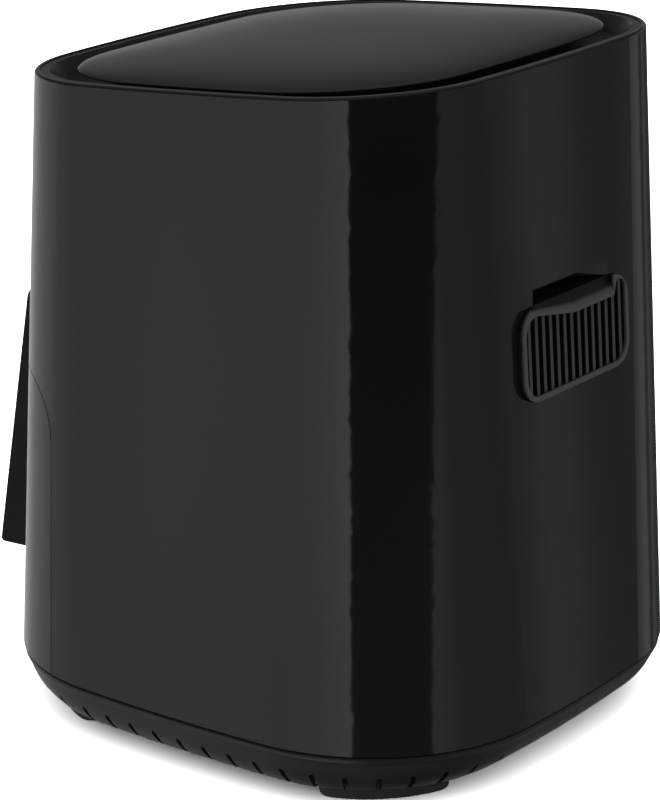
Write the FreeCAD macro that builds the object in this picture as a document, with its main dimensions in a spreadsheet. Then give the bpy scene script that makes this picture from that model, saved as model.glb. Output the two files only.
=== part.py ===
"""Drawer air fryer: tapered moulded housing, pull-out basket, heater, convection fan and controls.

Millimetres and degrees.  The origin is the centre of the body on the surface it stands on:
+Z up, -Y towards the drawer handle, +Y towards the exhaust grille.
"""

import FreeCAD
import Part
import math
import os

import Sketcher

DOC = FreeCAD.newDocument("air_fryer")
Vector = FreeCAD.Vector

# ---------------------------------------------------------------------------
# Driving dimensions
# ---------------------------------------------------------------------------

DIMENSIONS = (
    # Housing
    ("shell_bottom", 30, "height of the housing's lower edge"),
    ("rim_height", 330, "height of the rim on the body's axis"),
    ("base_half_width", 140.3, "half width of the housing at its lower edge"),
    ("base_half_depth", 145.3, "half depth of the housing at its lower edge"),
    ("base_corner_radius", 94, "plan corner radius at the lower edge"),
    ("side_taper", 11.4, "flank of the rim inside the lower edge"),
    ("end_taper", 20.3, "front and rear of the rim inside the lower edge"),
    ("rim_corner_radius", 71.4, "plan corner radius at the rim"),
    ("side_bow_radius", 950, "radius of the bowed flanks in plan"),
    ("rim_tilt", 4.37, "slope of the rim plane, rising to the rear"),
    ("shell_wall", 2.6, "wall of the housing"),
    ("seam_gap", 0.4, "visible seam between moulded covers"),
    ("rim_round", 1.3, "rounding of the housing's upper edge"),
    # Base
    ("skirt_bottom", 6.9, "height of the skirt's lower edge"),
    ("skirt_tuck_side", 14, "skirt's lower edge inside the housing's on the flanks"),
    ("skirt_tuck_end", 19.4, "skirt's lower edge inside the housing's at front and rear"),
    ("skirt_corner_radius", 73, "plan corner radius of the skirt's lower edge"),
    ("skirt_step", 0.8, "step of the skirt behind the housing"),
    ("skirt_wall", 3, "wall of the skirt"),
    ("skirt_swell", 1.6, "outward swell of the skirt at mid height"),
    ("skirt_round", 1, "rounding of the skirt's upper edge"),
    ("floor_height", 17.3, "underside of the floor plate"),
    ("floor_thickness", 3, "thickness of the floor plate"),
    ("slot_width", 2.8, "width of an air inlet slot"),
    ("slot_top", 16.6, "top of the air inlet slots"),
    ("slot_pitch", 15, "pitch of the air inlet slots"),
    ("slot_free_half", 37, "half width of the rear middle that has no slots"),
    ("foot_width", 16, "width of a rubber foot"),
    ("foot_round", 1.5, "rounding of a foot's lower edge"),
    ("foot_inset", 3.5, "foot's outer edge inside the skirt"),
    # Top
    ("bezel_gap", 0.2, "fit of the top bezel in the housing"),
    ("bezel_lip", 3.8, "flat lip around the lid channel"),
    ("channel_depth", 8, "depth of the channel around the lid"),
    ("channel_slope", 4.5, "inward run of the channel's outer wall"),
    ("bezel_floor", 2.5, "floor of the bezel under the lid"),
    ("bezel_drop", 0.5, "bezel lip below the rim"),
    ("lid_inset_side", 11.2, "lid inside the rim on the flanks"),
    ("lid_inset_end", 19, "lid inside the rim at front and rear"),
    ("lid_corner_radius", 70, "plan corner radius of the lid"),
    ("lid_edge", 1.2, "thickness of the lid's edge"),
    ("lid_crown", 1.6, "rise of the lid from edge to centre"),
    ("lid_bead", 0.5, "small step around the lid's rolled edge"),
    ("lid_roll", 45, "inset over which the lid rises to its top"),
    ("lid_lift", 0.9, "lid's underside below the rim plane"),
    ("plinth_inset", 14, "lid's plinth inside its edge"),
    # Drawer and handle
    ("drawer_seam_inset", 66.8, "drawer front's side seams behind the housing's lower front edge"),
    ("drawer_top", 175.5, "upper edge of the drawer front"),
    ("drawer_corner", 27, "rounding of the drawer front's upper side corner"),
    ("drawer_gap", 0.5, "seam between drawer front and housing"),
    ("drawer_skin", 3, "wall of the drawer front"),
    ("handle_width", 38, "width of the handle"),
    ("handle_top", 181.5, "height of the handle's upper outer corner"),
    ("handle_top_out", 46, "handle's upper outer corner ahead of the housing's lower edge"),
    ("handle_bottom", 33.5, "height of the handle's lower end"),
    ("handle_bottom_out", 71.5, "handle's lower outer corner ahead of the housing's lower edge"),
    ("grip_thickness", 24, "thickness of the grip"),
    ("neck_bottom", 146, "underside of the handle's neck"),
    ("handle_seat_gap", 0.3, "handle clear of the drawer front's outer face"),
    ("handle_round", 2, "rounding of the handle's long edges"),
    ("screw_radius", 2, "shank radius of the handle screws"),
    ("screw_head_radius", 3.8, "head radius of the handle screws"),
    ("screw_play", 0.2, "radial play of a screw in its hole"),
    ("screw_spacing", 18, "distance between the handle screws"),
    ("screw_height", 157, "height of the handle screws"),
    ("screw_length", 62, "length of the handle screws under the head"),
    ("liner_thickness", 2.5, "thickness of the drawer's inner panel"),
    ("liner_gap", 0.5, "inner panel clear of the chamber's front frame"),
    ("bracket_width", 34, "width of the handle bracket"),
    ("bracket_height", 24, "height of the handle bracket"),
    ("bracket_wall", 4, "wall of the handle bracket"),
    ("magnet_radius", 4, "radius of the drawer's magnet"),
    ("magnet_x", 70, "drawer magnet beside the body's axis"),
    ("magnet_back", 10, "drawer magnet ahead of the chamber's front frame"),
    # Exhaust grille
    ("vent_height", 207.5, "height of the exhaust grille's middle"),
    ("vent_half_width", 45.4, "half width of the grille frame"),
    ("vent_half_height", 22.4, "half height of the grille frame"),
    ("vent_corner", 12, "corner radius of the grille frame"),
    ("vent_proud", 2.3, "grille standing out of the housing"),
    ("vent_sunk", 6, "grille reaching into the housing"),
    ("vent_fit", 0.3, "grille frame clear of its hole"),
    ("vent_rim", 2.6, "width of the grille frame"),
    ("vent_notch_half", 33.5, "half width of the ledge at the grille's face"),
    ("vent_notch_depth", 7.2, "depth of the dip in the frame's upper edge at its face"),
    ("dip_near", 2, "where the dip's level bottom begins, beside the middle"),
    ("dip_run", 42, "length of the slope that leads down into the dip"),
    ("dip_end", 33, "steep end of the dip on the other side of the middle"),
    ("bar_width", 2.3, "width of a grille bar"),
    ("bar_pitch", 6, "pitch of the grille bars"),
    ("bar_recess", 1, "bars behind the frame's face"),
    ("bar_cover", 2.4, "bars' upper ends below the frame's outline"),
    ("bar_depth", 5.5, "depth of a grille bar"),
    ("recess_height", 7.2, "height of the recess over the grille"),
    ("recess_depth", 12, "depth of the recess over the grille"),
    ("recess_back_half", 16, "half width of the recess at its back"),
    ("recess_wall", 2, "wall around the recess"),
    ("ledge_thickness", 2.6, "thickness of the grille's ledge under the recess"),
    # Control fascia
    ("fascia_half_width", 62, "half width of the control fascia"),
    ("fascia_rise", 22.5, "lower edge of the control fascia above the drawer front"),
    ("fascia_drop", 34, "upper edge of the control fascia below the rim"),
    ("fascia_corner", 14, "corner radius of the control fascia"),
    ("fascia_fit", 0.25, "fascia clear of its hole"),
    # Cooking chamber
    ("chamber_side_inset", 24.3, "chamber's inner side wall inside the housing's lower edge"),
    ("chamber_front_inset", 55.3, "chamber's front behind the housing's lower edge"),
    ("chamber_rear_inset", 27.3, "chamber's inner rear wall inside the housing's lower edge"),
    ("chamber_roof", 215, "inner roof of the cooking chamber"),
    ("chamber_corner", 45, "plan radius of the chamber's rear corners"),
    ("sheet", 1.2, "steel sheet of the chamber"),
    ("rib_height", 5, "height of the floor ribs under the chamber"),
    ("screw_y", 62, "base screws ahead of and behind the body's axis"),
    ("base_screw_radius", 1.8, "shank radius of a base screw"),
    ("rib_width", 8, "width of a floor rib"),
    ("rib_x", 70, "floor ribs beside the body's axis"),
    ("mouth_drop", 9.5, "chamber's mouth below the top of the drawer front"),
    ("mouth_sill", 31.5, "lower edge of the chamber's mouth"),
    ("frame_margin", 4, "front frame beyond the mouth on each side"),
    ("frame_rise", 24, "front frame above the mouth"),
    ("duct_half_width", 38, "half width of the exhaust duct"),
    ("duct_height", 24, "height of the exhaust duct"),
    ("duct_drop", 4, "exhaust duct below the chamber's roof"),
    ("duct_wall", 1.5, "wall of the exhaust duct"),
    # Basket
    ("basket_top", 140, "height of the basket's rim"),
    ("basket_bottom", 33.5, "underside of the basket"),
    ("basket_side_gap", 6, "basket's wall under its rim inside the chamber's flanks"),
    ("basket_rear_gap", 14, "basket's rear wall ahead of the chamber's"),
    ("basket_draft", 9, "draft of the basket's walls over their height"),
    ("basket_corner", 42, "plan corner radius of the basket"),
    ("basket_wall", 1.5, "wall of the basket"),
    ("basket_flange", 4.3, "width of the basket's turned-out rim"),
    ("basket_floor_round", 9, "rounding between the basket's floor and walls"),
    ("rail_height", 5, "height of a drawer rail"),
    ("rail_play", 0.4, "running gap between rim and rail"),
    # Crisper plate
    ("plate_height", 49, "underside of the crisper plate"),
    ("plate_thickness", 1.6, "thickness of the crisper plate"),
    ("plate_gap", 3, "crisper plate clear of the basket's walls"),
    ("plate_hole", 4, "radius of a hole in the crisper plate"),
    ("plate_hole_pitch", 26, "pitch of the holes in the crisper plate"),
    ("bumper_radius", 5, "radius of a silicone bumper"),
    # Heater, fan and motor
    ("coil_drop", 21.5, "heating coil below the reflector"),
    ("coil_inset", 16, "coil's outer turn inside the guard"),
    ("coil_pitch", 18, "distance between the coil's turns"),
    ("coil_wire", 3.2, "radius of the heater tube"),
    ("guard_drop", 7.8, "wire guard below the heating coil"),
    ("guard_inset", 6, "guard's outer ring inside the reflector"),
    ("spoke_wire", 1.3, "half the thickness of the guard's crossing bars"),
    ("guard_post", 2.2, "radius of the guard's posts"),
    ("guard_wire", 1.6, "radius of the guard's wire"),
    ("fan_offset", 4, "fan axis ahead of the chamber's middle"),
    ("fan_gap", 4.8, "fan clear of the coil's inner turn"),
    ("fan_drop", 2.5, "top of the hot air fan's disc below the reflector"),
    ("blade_height", 11, "height of the hot air fan's blades"),
    ("shaft_radius", 3, "radius of the motor shaft"),
    ("shaft_play", 0.05, "radial play of the shaft in its bearings"),
    ("hub_radius", 8, "radius of the fan hubs"),
    ("shield_height", 14, "height of the heat shield over the chamber"),
    ("shield_inset", 28, "heat shield inside the chamber's flanks"),
    ("motor_radius", 30, "radius of the fan motor"),
    ("motor_height", 34, "height of the fan motor"),
    ("cooler_radius", 40, "radius of the cooling fan"),
    # Electronics
    ("board_thickness", 1.6, "thickness of a circuit board"),
    ("gland_radius", 6.5, "radius of the cord gland"),
    ("gland_inset", 21.4, "cord gland inside the skirt's lower rear edge"),
    ("cord_bore", 3.7, "bore of the cord gland"),
    ("display_half_width", 32, "half width of the display"),
    ("display_height", 34, "height of the display"),
    ("display_drop", 18, "display below the top of the fascia"),
    ("display_depth", 8, "depth of the display module"),
    ("display_gap", 0.85, "display behind the fascia on the middle line"),
    ("board_half_width", 50, "half width of the control board"),
    ("base_screw_length", 11, "length of a base screw above its head"),
    ("gland_play", 0.1, "radial play of the gland's neck in the floor"),
    ("leg_play", 0.6, "radial play of a heater leg in its hole"),
    ("leg_height", 44, "height of the heater's legs"),
    ("shaft_hole", 10, "radius of the openings around the shaft"),
    ("sensor_side", 12, "temperature sensor inside the chamber's flank"),
    ("sensor_back", 35, "temperature sensor behind the chamber's front"),
    ("sensor_radius", 2.5, "radius of the sensor's probe"),
    ("sensor_play", 0.3, "radial play of the probe in the roof"),
    ("rail_width", 4.5, "width of a drawer rail"),
    ("duct_corner", 6, "corner radius of the duct's inlet"),
    ("reflector_depth", 3.5, "depth of the reflector under the roof"),
    ("reflector_gap", 4, "reflector inside the chamber's half depth"),
    ("clamp_gap", 0.3, "clamp clear of the coil"),
    ("clamp_thickness", 1.5, "thickness of a coil clamp"),
    ("clamp_width", 8, "width of a coil clamp"),
    ("clamp_post", 1.8, "radius of a clamp's post"),
    ("nut_height", 5, "height of the fan nut"),
    ("nut_radius", 5.5, "radius over the fan nut's corners"),
    ("motor_stand", 18, "clear height under the motor plate"),
    ("stand_plate", 1.5, "thickness of the motor plate"),
    ("stand_radius", 52, "radius of the motor plate"),
    ("basket_seat", 0.3, "basket rim clear of the inner panel"),
    ("finger_hole", 11, "radius of the lifting hole in the crisper plate"),
    ("bumper_inset", 19, "plate feet inside the plate's edge"),
    ("bumper_gap", 0.3, "plate feet clear of the basket's floor"),
    ("screw_head_height", 2, "height of a base screw's head"),
    ("gland_lip", 2.5, "how far the gland's lips stand out past its neck"),
    ("gland_lip_height", 2, "thickness of the gland's lips"),
    ("shield_wall", 1, "sheet of the heat shield"),
    ("shield_corner", 24, "corner radius of the heat shield"),
    ("stand_post", 3, "radius of the motor plate's posts"),
    ("stand_post_inset", 4, "posts inside the motor plate's edge"),
    ("motor_dome", 5, "height of the motor's domed cap"),
    ("blade_thickness", 1.3, "thickness of a fan blade"),
    ("blade_lean", 7, "how far a fan blade's tip is swept round"),
    ("fan_disc", 1, "thickness of a fan's disc"),
    ("cooler_gap", 3, "cooling fan over the heat shield"),
    ("cooler_height", 9, "height of the cooling fan"),
    ("power_half_width", 42, "half width of the power board"),
    ("power_depth", 30, "depth of the power board"),
    ("power_stand", 6, "power board over the heat shield"),
    ("standoff_radius", 2.5, "radius of a standoff"),
    ("standoff_inset", 4, "standoffs inside the power board's edges"),
    ("transformer_height", 18, "height of the transformer"),
    ("relay_height", 15, "height of the relay"),
    ("capacitor_radius", 4.5, "radius of a capacitor"),
    ("capacitor_height", 16, "height of a capacitor"),
    ("cutoff_inset", 22, "thermal cut-off inside the heat shield's edge"),
    ("cutoff_radius", 8, "radius of the thermal cut-off"),
    ("cutoff_height", 6, "height of the thermal cut-off"),
    ("cutoff_tab", 12, "half length of the cut-off's fixing tab"),
    ("sensor_reach", 16, "how far the probe hangs under the roof"),
    ("sensor_flange", 6, "radius of the probe's flange"),
    ("sensor_flange_height", 1.5, "thickness of the probe's flange"),
    ("hook_drop", 34, "foot of the basket's bracket below the rim"),
    ("hook_width", 60, "width of the basket's bracket"),
    ("hook_gap", 0.3, "bracket clear of the basket's wall"),
)

# ---------------------------------------------------------------------------
# Sizes: numbers that remember the sheet expression they come from
# ---------------------------------------------------------------------------


class Size:
    """A number together with the spreadsheet expression that gives it."""

    def __init__(self, value, text):
        self.value = value
        self.text = text

    def __add__(self, other):
        other = as_size(other)
        return Size(self.value + other.value, f"({self.text} + {other.text})")

    def __radd__(self, other):
        return as_size(other) + self

    def __sub__(self, other):
        other = as_size(other)
        return Size(self.value - other.value, f"({self.text} - {other.text})")

    def __rsub__(self, other):
        return as_size(other) - self

    def __mul__(self, other):
        other = as_size(other)
        return Size(self.value * other.value, f"({self.text} * {other.text})")

    def __rmul__(self, other):
        return as_size(other) * self

    def __truediv__(self, other):
        other = as_size(other)
        return Size(self.value / other.value, f"({self.text} / {other.text})")

    def __rtruediv__(self, other):
        return as_size(other) / self

    def __neg__(self):
        return Size(-self.value, f"(0 - {self.text})")


def as_size(amount):
    """A Size for a plain number; a Size stays as it is."""
    if isinstance(amount, Size):
        return amount
    return Size(float(amount), repr(float(amount)))


def sine(angle):
    angle = as_size(angle)
    return Size(math.sin(math.radians(angle.value)), f"sin({angle.text} * 1 deg)")


def cosine(angle):
    angle = as_size(angle)
    return Size(math.cos(math.radians(angle.value)), f"cos({angle.text} * 1 deg)")


def tangent(angle):
    return sine(angle) / cosine(angle)


def root(square):
    return Size(math.sqrt(square.value), f"sqrt({square.text})")


def make_sheet():
    """The spreadsheet of driving dimensions, one alias a row."""
    sheet = DOC.addObject("Spreadsheet::Sheet", "Sizes")
    for row, (name, amount, meaning) in enumerate(DIMENSIONS, start=1):
        sheet.set(f"A{row}", name)
        sheet.set(f"B{row}", str(amount))
        sheet.set(f"C{row}", meaning)
        sheet.setAlias(f"B{row}", name)
    DOC.recompute()
    return sheet


class Dims:
    """Every driving dimension as an attribute."""


D = Dims()
make_sheet()
for dimension, number, _ in DIMENSIONS:
    setattr(D, dimension, Size(float(number), f"Sizes.{dimension}"))


# ---------------------------------------------------------------------------
# Document helpers
# ---------------------------------------------------------------------------

PIECES = []


def bind(item, path, size):
    """Drive one property of a document object from the sheet."""
    item.setExpression(path, as_size(size).text)


def piece(item, label):
    """Name a finished sub-part and list it for export."""
    item.Label = label
    PIECES.append(item)
    return item


def new_body(name):
    return DOC.addObject("PartDesign::Body", name)


def origin_plane(body, role):
    """The body's own XY_Plane, XZ_Plane or YZ_Plane."""
    return next(item for item in body.Origin.OriginFeatures if item.Role == role)


def sketch_on(body, role, lift=0, shift=(0, 0), tilt=0, roll=0):
    """A sketch on an origin plane, lifted along its normal, moved in it, tilted about X or rolled."""
    sketch = body.newObject("Sketcher::SketchObject", "Sketch")
    sketch.AttachmentSupport = [(origin_plane(body, role), "")]
    sketch.MapMode = "FlatFace"
    if as_size(tilt).value:
        sketch.AttachmentOffset = FreeCAD.Placement(
            Vector(), FreeCAD.Rotation(Vector(1, 0, 0), as_size(tilt).value))
        bind(sketch, "AttachmentOffset.Rotation.Angle", as_size(tilt) * DEGREE)
    if as_size(roll).value:
        sketch.AttachmentOffset = FreeCAD.Placement(
            Vector(), FreeCAD.Rotation(Vector(0, 0, 1), as_size(roll).value))
        bind(sketch, "AttachmentOffset.Rotation.Angle", as_size(roll) * DEGREE)
    bind(sketch, "AttachmentOffset.Base.x", as_size(shift[0]) * MM)
    bind(sketch, "AttachmentOffset.Base.y", as_size(shift[1]) * MM)
    bind(sketch, "AttachmentOffset.Base.z", as_size(lift) * MM)
    return sketch


MM = Size(1.0, "1 mm")
DEGREE = Size(1.0, "1 deg")


def standing_sketch(body, x, y, angle):
    """An upright sketch at a plan point, its X along a plan direction in degrees and its Y upwards."""
    sketch = sketch_on(body, "XY_Plane", shift=(x, y))
    upright = FreeCAD.Rotation(Vector(0, 0, 1), angle) * FreeCAD.Rotation(Vector(1, 0, 0), 90)
    sketch.AttachmentOffset = FreeCAD.Placement(sketch.AttachmentOffset.Base, upright)
    return sketch


def dimension(sketch, kind, *where):
    """Add a driving constraint whose last argument is a Size."""
    size = as_size(where[-1])
    number = sketch.addConstraint(Sketcher.Constraint(kind, *where[:-1], size.value))
    sketch.setExpression(f"Constraints[{number}]", size.text)


def relate(sketch, kind, *where):
    """Add a constraint without a value."""
    sketch.addConstraint(Sketcher.Constraint(kind, *where))


START, END, CENTRE = 1, 2, 3
ORIGIN = (-1, 1)
X_AXIS, Y_AXIS = -1, -2


def place_point(sketch, item, point, x, y):
    """Fix one point of a sketch item by its distances from the sketch's origin."""
    for kind, size in (("DistanceX", as_size(x)), ("DistanceY", as_size(y))):
        if size.text == "0.0":
            relate(sketch, "PointOnObject", item, point, Y_AXIS if kind == "DistanceX" else X_AXIS)
        elif size.value < 0:
            dimension(sketch, kind, item, point, *ORIGIN, -size)
        else:
            dimension(sketch, kind, *ORIGIN, item, point, size)


def circle(sketch, x, y, radius):
    """A full circle."""
    item = sketch.addGeometry(Part.Circle(
        Vector(as_size(x).value, as_size(y).value, 0), Vector(0, 0, 1), as_size(radius).value))
    place_point(sketch, item, CENTRE, x, y)
    dimension(sketch, "Radius", item, radius)
    return item


def rounded_polygon(sketch, corners):
    """A closed outline through corners (x, y, radius); a radius of 0 leaves the corner sharp."""
    corners = [tuple(as_size(amount) for amount in corner) for corner in corners]
    spots = [Vector(x.value, y.value, 0) for x, y, _ in corners]
    count = len(corners)
    trims = []
    for i, (_, _, radius) in enumerate(corners):
        before = (spots[i - 1] - spots[i]).normalize()
        after = (spots[(i + 1) % count] - spots[i]).normalize()
        half = before.getAngle(after) / 2
        trim = radius.value / math.tan(half)
        middle = spots[i] + (before + after).normalize() * (radius.value / math.sin(half))
        trims.append((spots[i] + before * trim, spots[i] + after * trim, middle))
    lines = [sketch.addGeometry(Part.LineSegment(trims[i][1], trims[(i + 1) % count][0]))
             for i in range(count)]
    for i, (x, y, radius) in enumerate(corners):
        arriving = lines[i - 1]
        leaving = lines[i]
        if radius.value == 0:
            relate(sketch, "Coincident", arriving, END, leaving, START)
            place_point(sketch, leaving, START, x, y)
            continue
        begin, finish, middle = trims[i]
        turn = (begin - middle).cross(finish - middle).z
        angle_in = math.atan2(begin.y - middle.y, begin.x - middle.x)
        angle_out = math.atan2(finish.y - middle.y, finish.x - middle.x)
        whole = Part.Circle(middle, Vector(0, 0, 1), radius.value)
        if turn > 0:
            arc = sketch.addGeometry(Part.ArcOfCircle(whole, angle_in, angle_out))
            relate(sketch, "Tangent", arriving, END, arc, START)
            relate(sketch, "Tangent", arc, END, leaving, START)
        else:
            arc = sketch.addGeometry(Part.ArcOfCircle(whole, angle_out, angle_in))
            relate(sketch, "Tangent", arriving, END, arc, END)
            relate(sketch, "Tangent", arc, START, leaving, START)
        dimension(sketch, "Radius", arc, radius)
        mark = sketch.addGeometry(Part.Point(spots[i]), True)
        relate(sketch, "PointOnObject", mark, START, arriving)
        relate(sketch, "PointOnObject", mark, START, leaving)
        place_point(sketch, mark, START, x, y)


def rounded_rectangle(sketch, x0, y0, x1, y1, radius=0):
    rounded_polygon(sketch, [(x0, y0, radius), (x1, y0, radius), (x1, y1, radius), (x0, y1, radius)])


def crowned_square(sketch, half_x, half_y, corner, bow):
    """A rounded square whose four flanks are shallow arcs, tangent to its corner arcs."""
    half_x, half_y, corner, bow = (as_size(size) for size in (half_x, half_y, corner, bow))
    back_x = bow - half_x
    back_y = bow - half_y
    p, q, reach = back_x.value, back_y.value, bow.value - corner.value
    k, m = q / p, (q * q + p * p) / (2 * p)
    centre_y = (-k * m + math.sqrt(k * k * m * m - (k * k + 1) * (m * m - reach * reach))) / (k * k + 1)
    centre_x = k * centre_y + m - p
    flank_turn = math.atan2(centre_y, centre_x + p)
    end_turn = math.atan2(centre_y + q, centre_x)
    right = math.pi / 2
    arcs = []
    for quarter, (sx, sy) in enumerate(((1, 1), (-1, 1), (-1, -1), (1, -1))):
        along_x = quarter % 2 == 0
        flank_centre = Vector(-p * sx, 0, 0) if along_x else Vector(0, -q * sy, 0)
        swing = flank_turn if along_x else right - end_turn
        middle = quarter * right
        flank = Part.ArcOfCircle(
            Part.Circle(flank_centre, Vector(0, 0, 1), bow.value), middle - swing, middle + swing)
        corner_start = flank_turn if along_x else right - end_turn
        corner_end = end_turn if along_x else right - flank_turn
        bend = Part.ArcOfCircle(
            Part.Circle(Vector(sx * centre_x, sy * centre_y, 0), Vector(0, 0, 1), corner.value),
            middle + corner_start, middle + corner_end)
        arcs += [sketch.addGeometry(flank), sketch.addGeometry(bend)]
    for here, following in zip(arcs, arcs[1:] + arcs[:1]):
        relate(sketch, "Tangent", here, END, following, START)
    flanks, bends = arcs[0::2], arcs[1::2]
    for group, radius in ((flanks, bow), (bends, corner)):
        for other in group[1:]:
            relate(sketch, "Equal", group[0], other)
        dimension(sketch, "Radius", group[0], radius)
    for item, axis in zip(flanks, (X_AXIS, Y_AXIS, X_AXIS, Y_AXIS)):
        relate(sketch, "PointOnObject", item, CENTRE, axis)
    dimension(sketch, "DistanceX", flanks[0], CENTRE, *ORIGIN, back_x)
    dimension(sketch, "DistanceX", *ORIGIN, flanks[2], CENTRE, back_x)
    dimension(sketch, "DistanceY", flanks[1], CENTRE, *ORIGIN, back_y)
    dimension(sketch, "DistanceY", *ORIGIN, flanks[3], CENTRE, back_y)


def crescent_outline(sketch, inner, outer, start, finish):
    """A band between two radii about the sketch's origin, with round ends."""
    inner, outer = as_size(inner), as_size(outer)
    middle = (inner + outer) / 2
    end_radius = (outer.value - inner.value) / 2
    first, last = math.radians(start), math.radians(finish)
    up = Vector(0, 0, 1)
    far = sketch.addGeometry(Part.ArcOfCircle(Part.Circle(Vector(), up, outer.value), first, last))
    near = sketch.addGeometry(Part.ArcOfCircle(Part.Circle(Vector(), up, inner.value), first, last))
    caps = []
    for angle, begin in ((last, last), (first, first + math.pi)):
        spot = Vector(middle.value * math.cos(angle), middle.value * math.sin(angle), 0)
        caps.append(sketch.addGeometry(Part.ArcOfCircle(
            Part.Circle(spot, up, end_radius), begin, begin + math.pi)))
    relate(sketch, "Tangent", far, END, caps[0], START)
    relate(sketch, "Tangent", caps[0], END, near, END)
    relate(sketch, "Tangent", near, START, caps[1], START)
    relate(sketch, "Tangent", caps[1], END, far, START)
    place_point(sketch, far, CENTRE, 0, 0)
    relate(sketch, "Coincident", far, CENTRE, near, CENTRE)
    dimension(sketch, "Radius", far, outer)
    dimension(sketch, "Radius", near, inner)
    for cap, angle in zip(caps, (finish, start)):
        across = middle * cosine(angle)
        if across.value > 0:
            dimension(sketch, "DistanceX", *ORIGIN, cap, CENTRE, across)
        else:
            dimension(sketch, "DistanceX", cap, CENTRE, *ORIGIN, -across)


def pad(body, sketch, length, both=False, flip=False):
    """Extrude a sketch; both sides alike, or against its normal."""
    item = body.newObject("PartDesign::Pad", "Pad")
    item.Profile = sketch
    item.Midplane = both
    item.Reversed = flip
    bind(item, "Length", as_size(length) * MM)
    sketch.Visibility = False
    return item


def pocket(body, sketch, length=None, both=False, flip=False):
    """Cut a sketch away, to a length or through everything."""
    item = body.newObject("PartDesign::Pocket", "Pocket")
    item.Profile = sketch
    item.Midplane = both
    item.Reversed = flip
    if length is None:
        item.Type = "ThroughAll"
    else:
        bind(item, "Length", as_size(length) * MM)
    sketch.Visibility = False
    return item


def loft(body, sketches, cut=False, ruled=True):
    """Join outlines at different heights, or cut their loft away."""
    kind = "PartDesign::SubtractiveLoft" if cut else "PartDesign::AdditiveLoft"
    item = body.newObject(kind, "Loft")
    item.Profile = sketches[0]
    item.Sections = sketches[1:]
    item.Ruled = ruled
    return item


def revolve(body, sketch, cut=False, about="V_Axis"):
    """Turn a sketch once about one of its own axes."""
    kind = "PartDesign::Groove" if cut else "PartDesign::Revolution"
    item = body.newObject(kind, "Turned")
    item.Profile = sketch
    item.ReferenceAxis = (sketch, [about])
    item.Angle = 360
    return item


def row_of(body, feature, sketch, axis, pitch, count):
    """Repeat a feature in a straight row."""
    item = body.newObject("PartDesign::LinearPattern", "Row")
    item.Originals = [feature]
    item.Direction = (sketch, [axis])
    item.Mode = "Spacing"
    bind(item, "Offset", as_size(pitch) * MM)
    item.Occurrences = count
    body.Tip = item
    return item


def ring_of(body, feature, sketch, axis, angle, count):
    """Repeat a feature about a sketch axis, over a whole or a part turn."""
    item = body.newObject("PartDesign::PolarPattern", "Ring")
    item.Originals = [feature]
    item.Axis = (sketch, [axis])
    item.Mode = "Spacing"
    bind(item, "Offset", as_size(angle) * DEGREE)
    item.Occurrences = count
    body.Tip = item
    return item


def round_edges(body, radius, wanted, chamfer=False):
    """Fillet or chamfer the edges of the body's last feature that a test picks."""
    DOC.recompute()
    tip = body.Tip
    names = [f"Edge{i}" for i, edge in enumerate(tip.Shape.Edges, start=1) if wanted(edge)]
    kind = "PartDesign::Chamfer" if chamfer else "PartDesign::Fillet"
    item = body.newObject(kind, "Round")
    item.Base = (tip, names)
    bind(item, "Size" if chamfer else "Radius", as_size(radius) * MM)
    return item


# Part workbench primitives ---------------------------------------------------


def place(item, x=0, y=0, z=0):
    for letter, size in zip("xyz", (x, y, z)):
        bind(item, f"Placement.Base.{letter}", as_size(size) * MM)


def block(name, low, high):
    """A box between two corners."""
    item = DOC.addObject("Part::Box", name)
    for prop, a, b in zip(("Length", "Width", "Height"), low, high):
        bind(item, prop, (as_size(b) - as_size(a)) * MM)
    place(item, *low)
    return item


AXES = {"x": Vector(1, 0, 0), "y": Vector(0, 1, 0), "z": Vector(0, 0, 1)}


def rod(name, radius, start, length, along="z"):
    """A round bar from a point, along an axis."""
    item = DOC.addObject("Part::Cylinder", name)
    item.Placement.Rotation = FreeCAD.Rotation(AXES["z"], AXES[along])
    bind(item, "Radius", as_size(radius) * MM)
    bind(item, "Height", as_size(length) * MM)
    place(item, *start)
    return item


def ring(name, radius, wire_radius, middle):
    """A round wire bent to a flat ring."""
    item = DOC.addObject("Part::Torus", name)
    bind(item, "Radius1", as_size(radius) * MM)
    bind(item, "Radius2", as_size(wire_radius) * MM)
    place(item, *middle)
    return item


def fuse(name, items):
    item = DOC.addObject("Part::MultiFuse", name)
    item.Shapes = items
    return item


def cut(name, base, tools):
    """Take one or more tools out of a base."""
    item = DOC.addObject("Part::Cut", name)
    item.Base = base
    item.Tool = tools[0] if len(tools) == 1 else fuse(name + "_tools", tools)
    return item


def common(name, base, tool):
    item = DOC.addObject("Part::Common", name)
    item.Base = base
    item.Tool = tool
    return item


def group(name, items):
    """Separate like solids kept together as one sub-part."""
    item = DOC.addObject("Part::Compound", name)
    item.Links = items
    return item
# ---------------------------------------------------------------------------
# Sizes and places that follow from the driving dimensions
# ---------------------------------------------------------------------------

RIM_HALF_WIDTH = D.base_half_width - D.side_taper
RIM_HALF_DEPTH = D.base_half_depth - D.end_taper
SKIRT_HALF_WIDTH = D.base_half_width - D.skirt_tuck_side
SKIRT_HALF_DEPTH = D.base_half_depth - D.skirt_tuck_end
LID_HALF_WIDTH = RIM_HALF_WIDTH - D.lid_inset_side
LID_HALF_DEPTH = RIM_HALF_DEPTH - D.lid_inset_end
GLAND_Y = SKIRT_HALF_DEPTH - D.gland_inset

DRAWER_SEAM_Y = D.drawer_seam_inset - D.base_half_depth
HANDLE_TOP_REACH = D.base_half_depth + D.handle_top_out
HANDLE_LOW_REACH = D.base_half_depth + D.handle_bottom_out
FASCIA_BOTTOM = D.drawer_top + D.fascia_rise
FASCIA_TOP = D.rim_height - D.fascia_drop
DISPLAY_TOP = FASCIA_TOP - D.display_drop
DISPLAY_BOTTOM = DISPLAY_TOP - D.display_height

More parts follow.
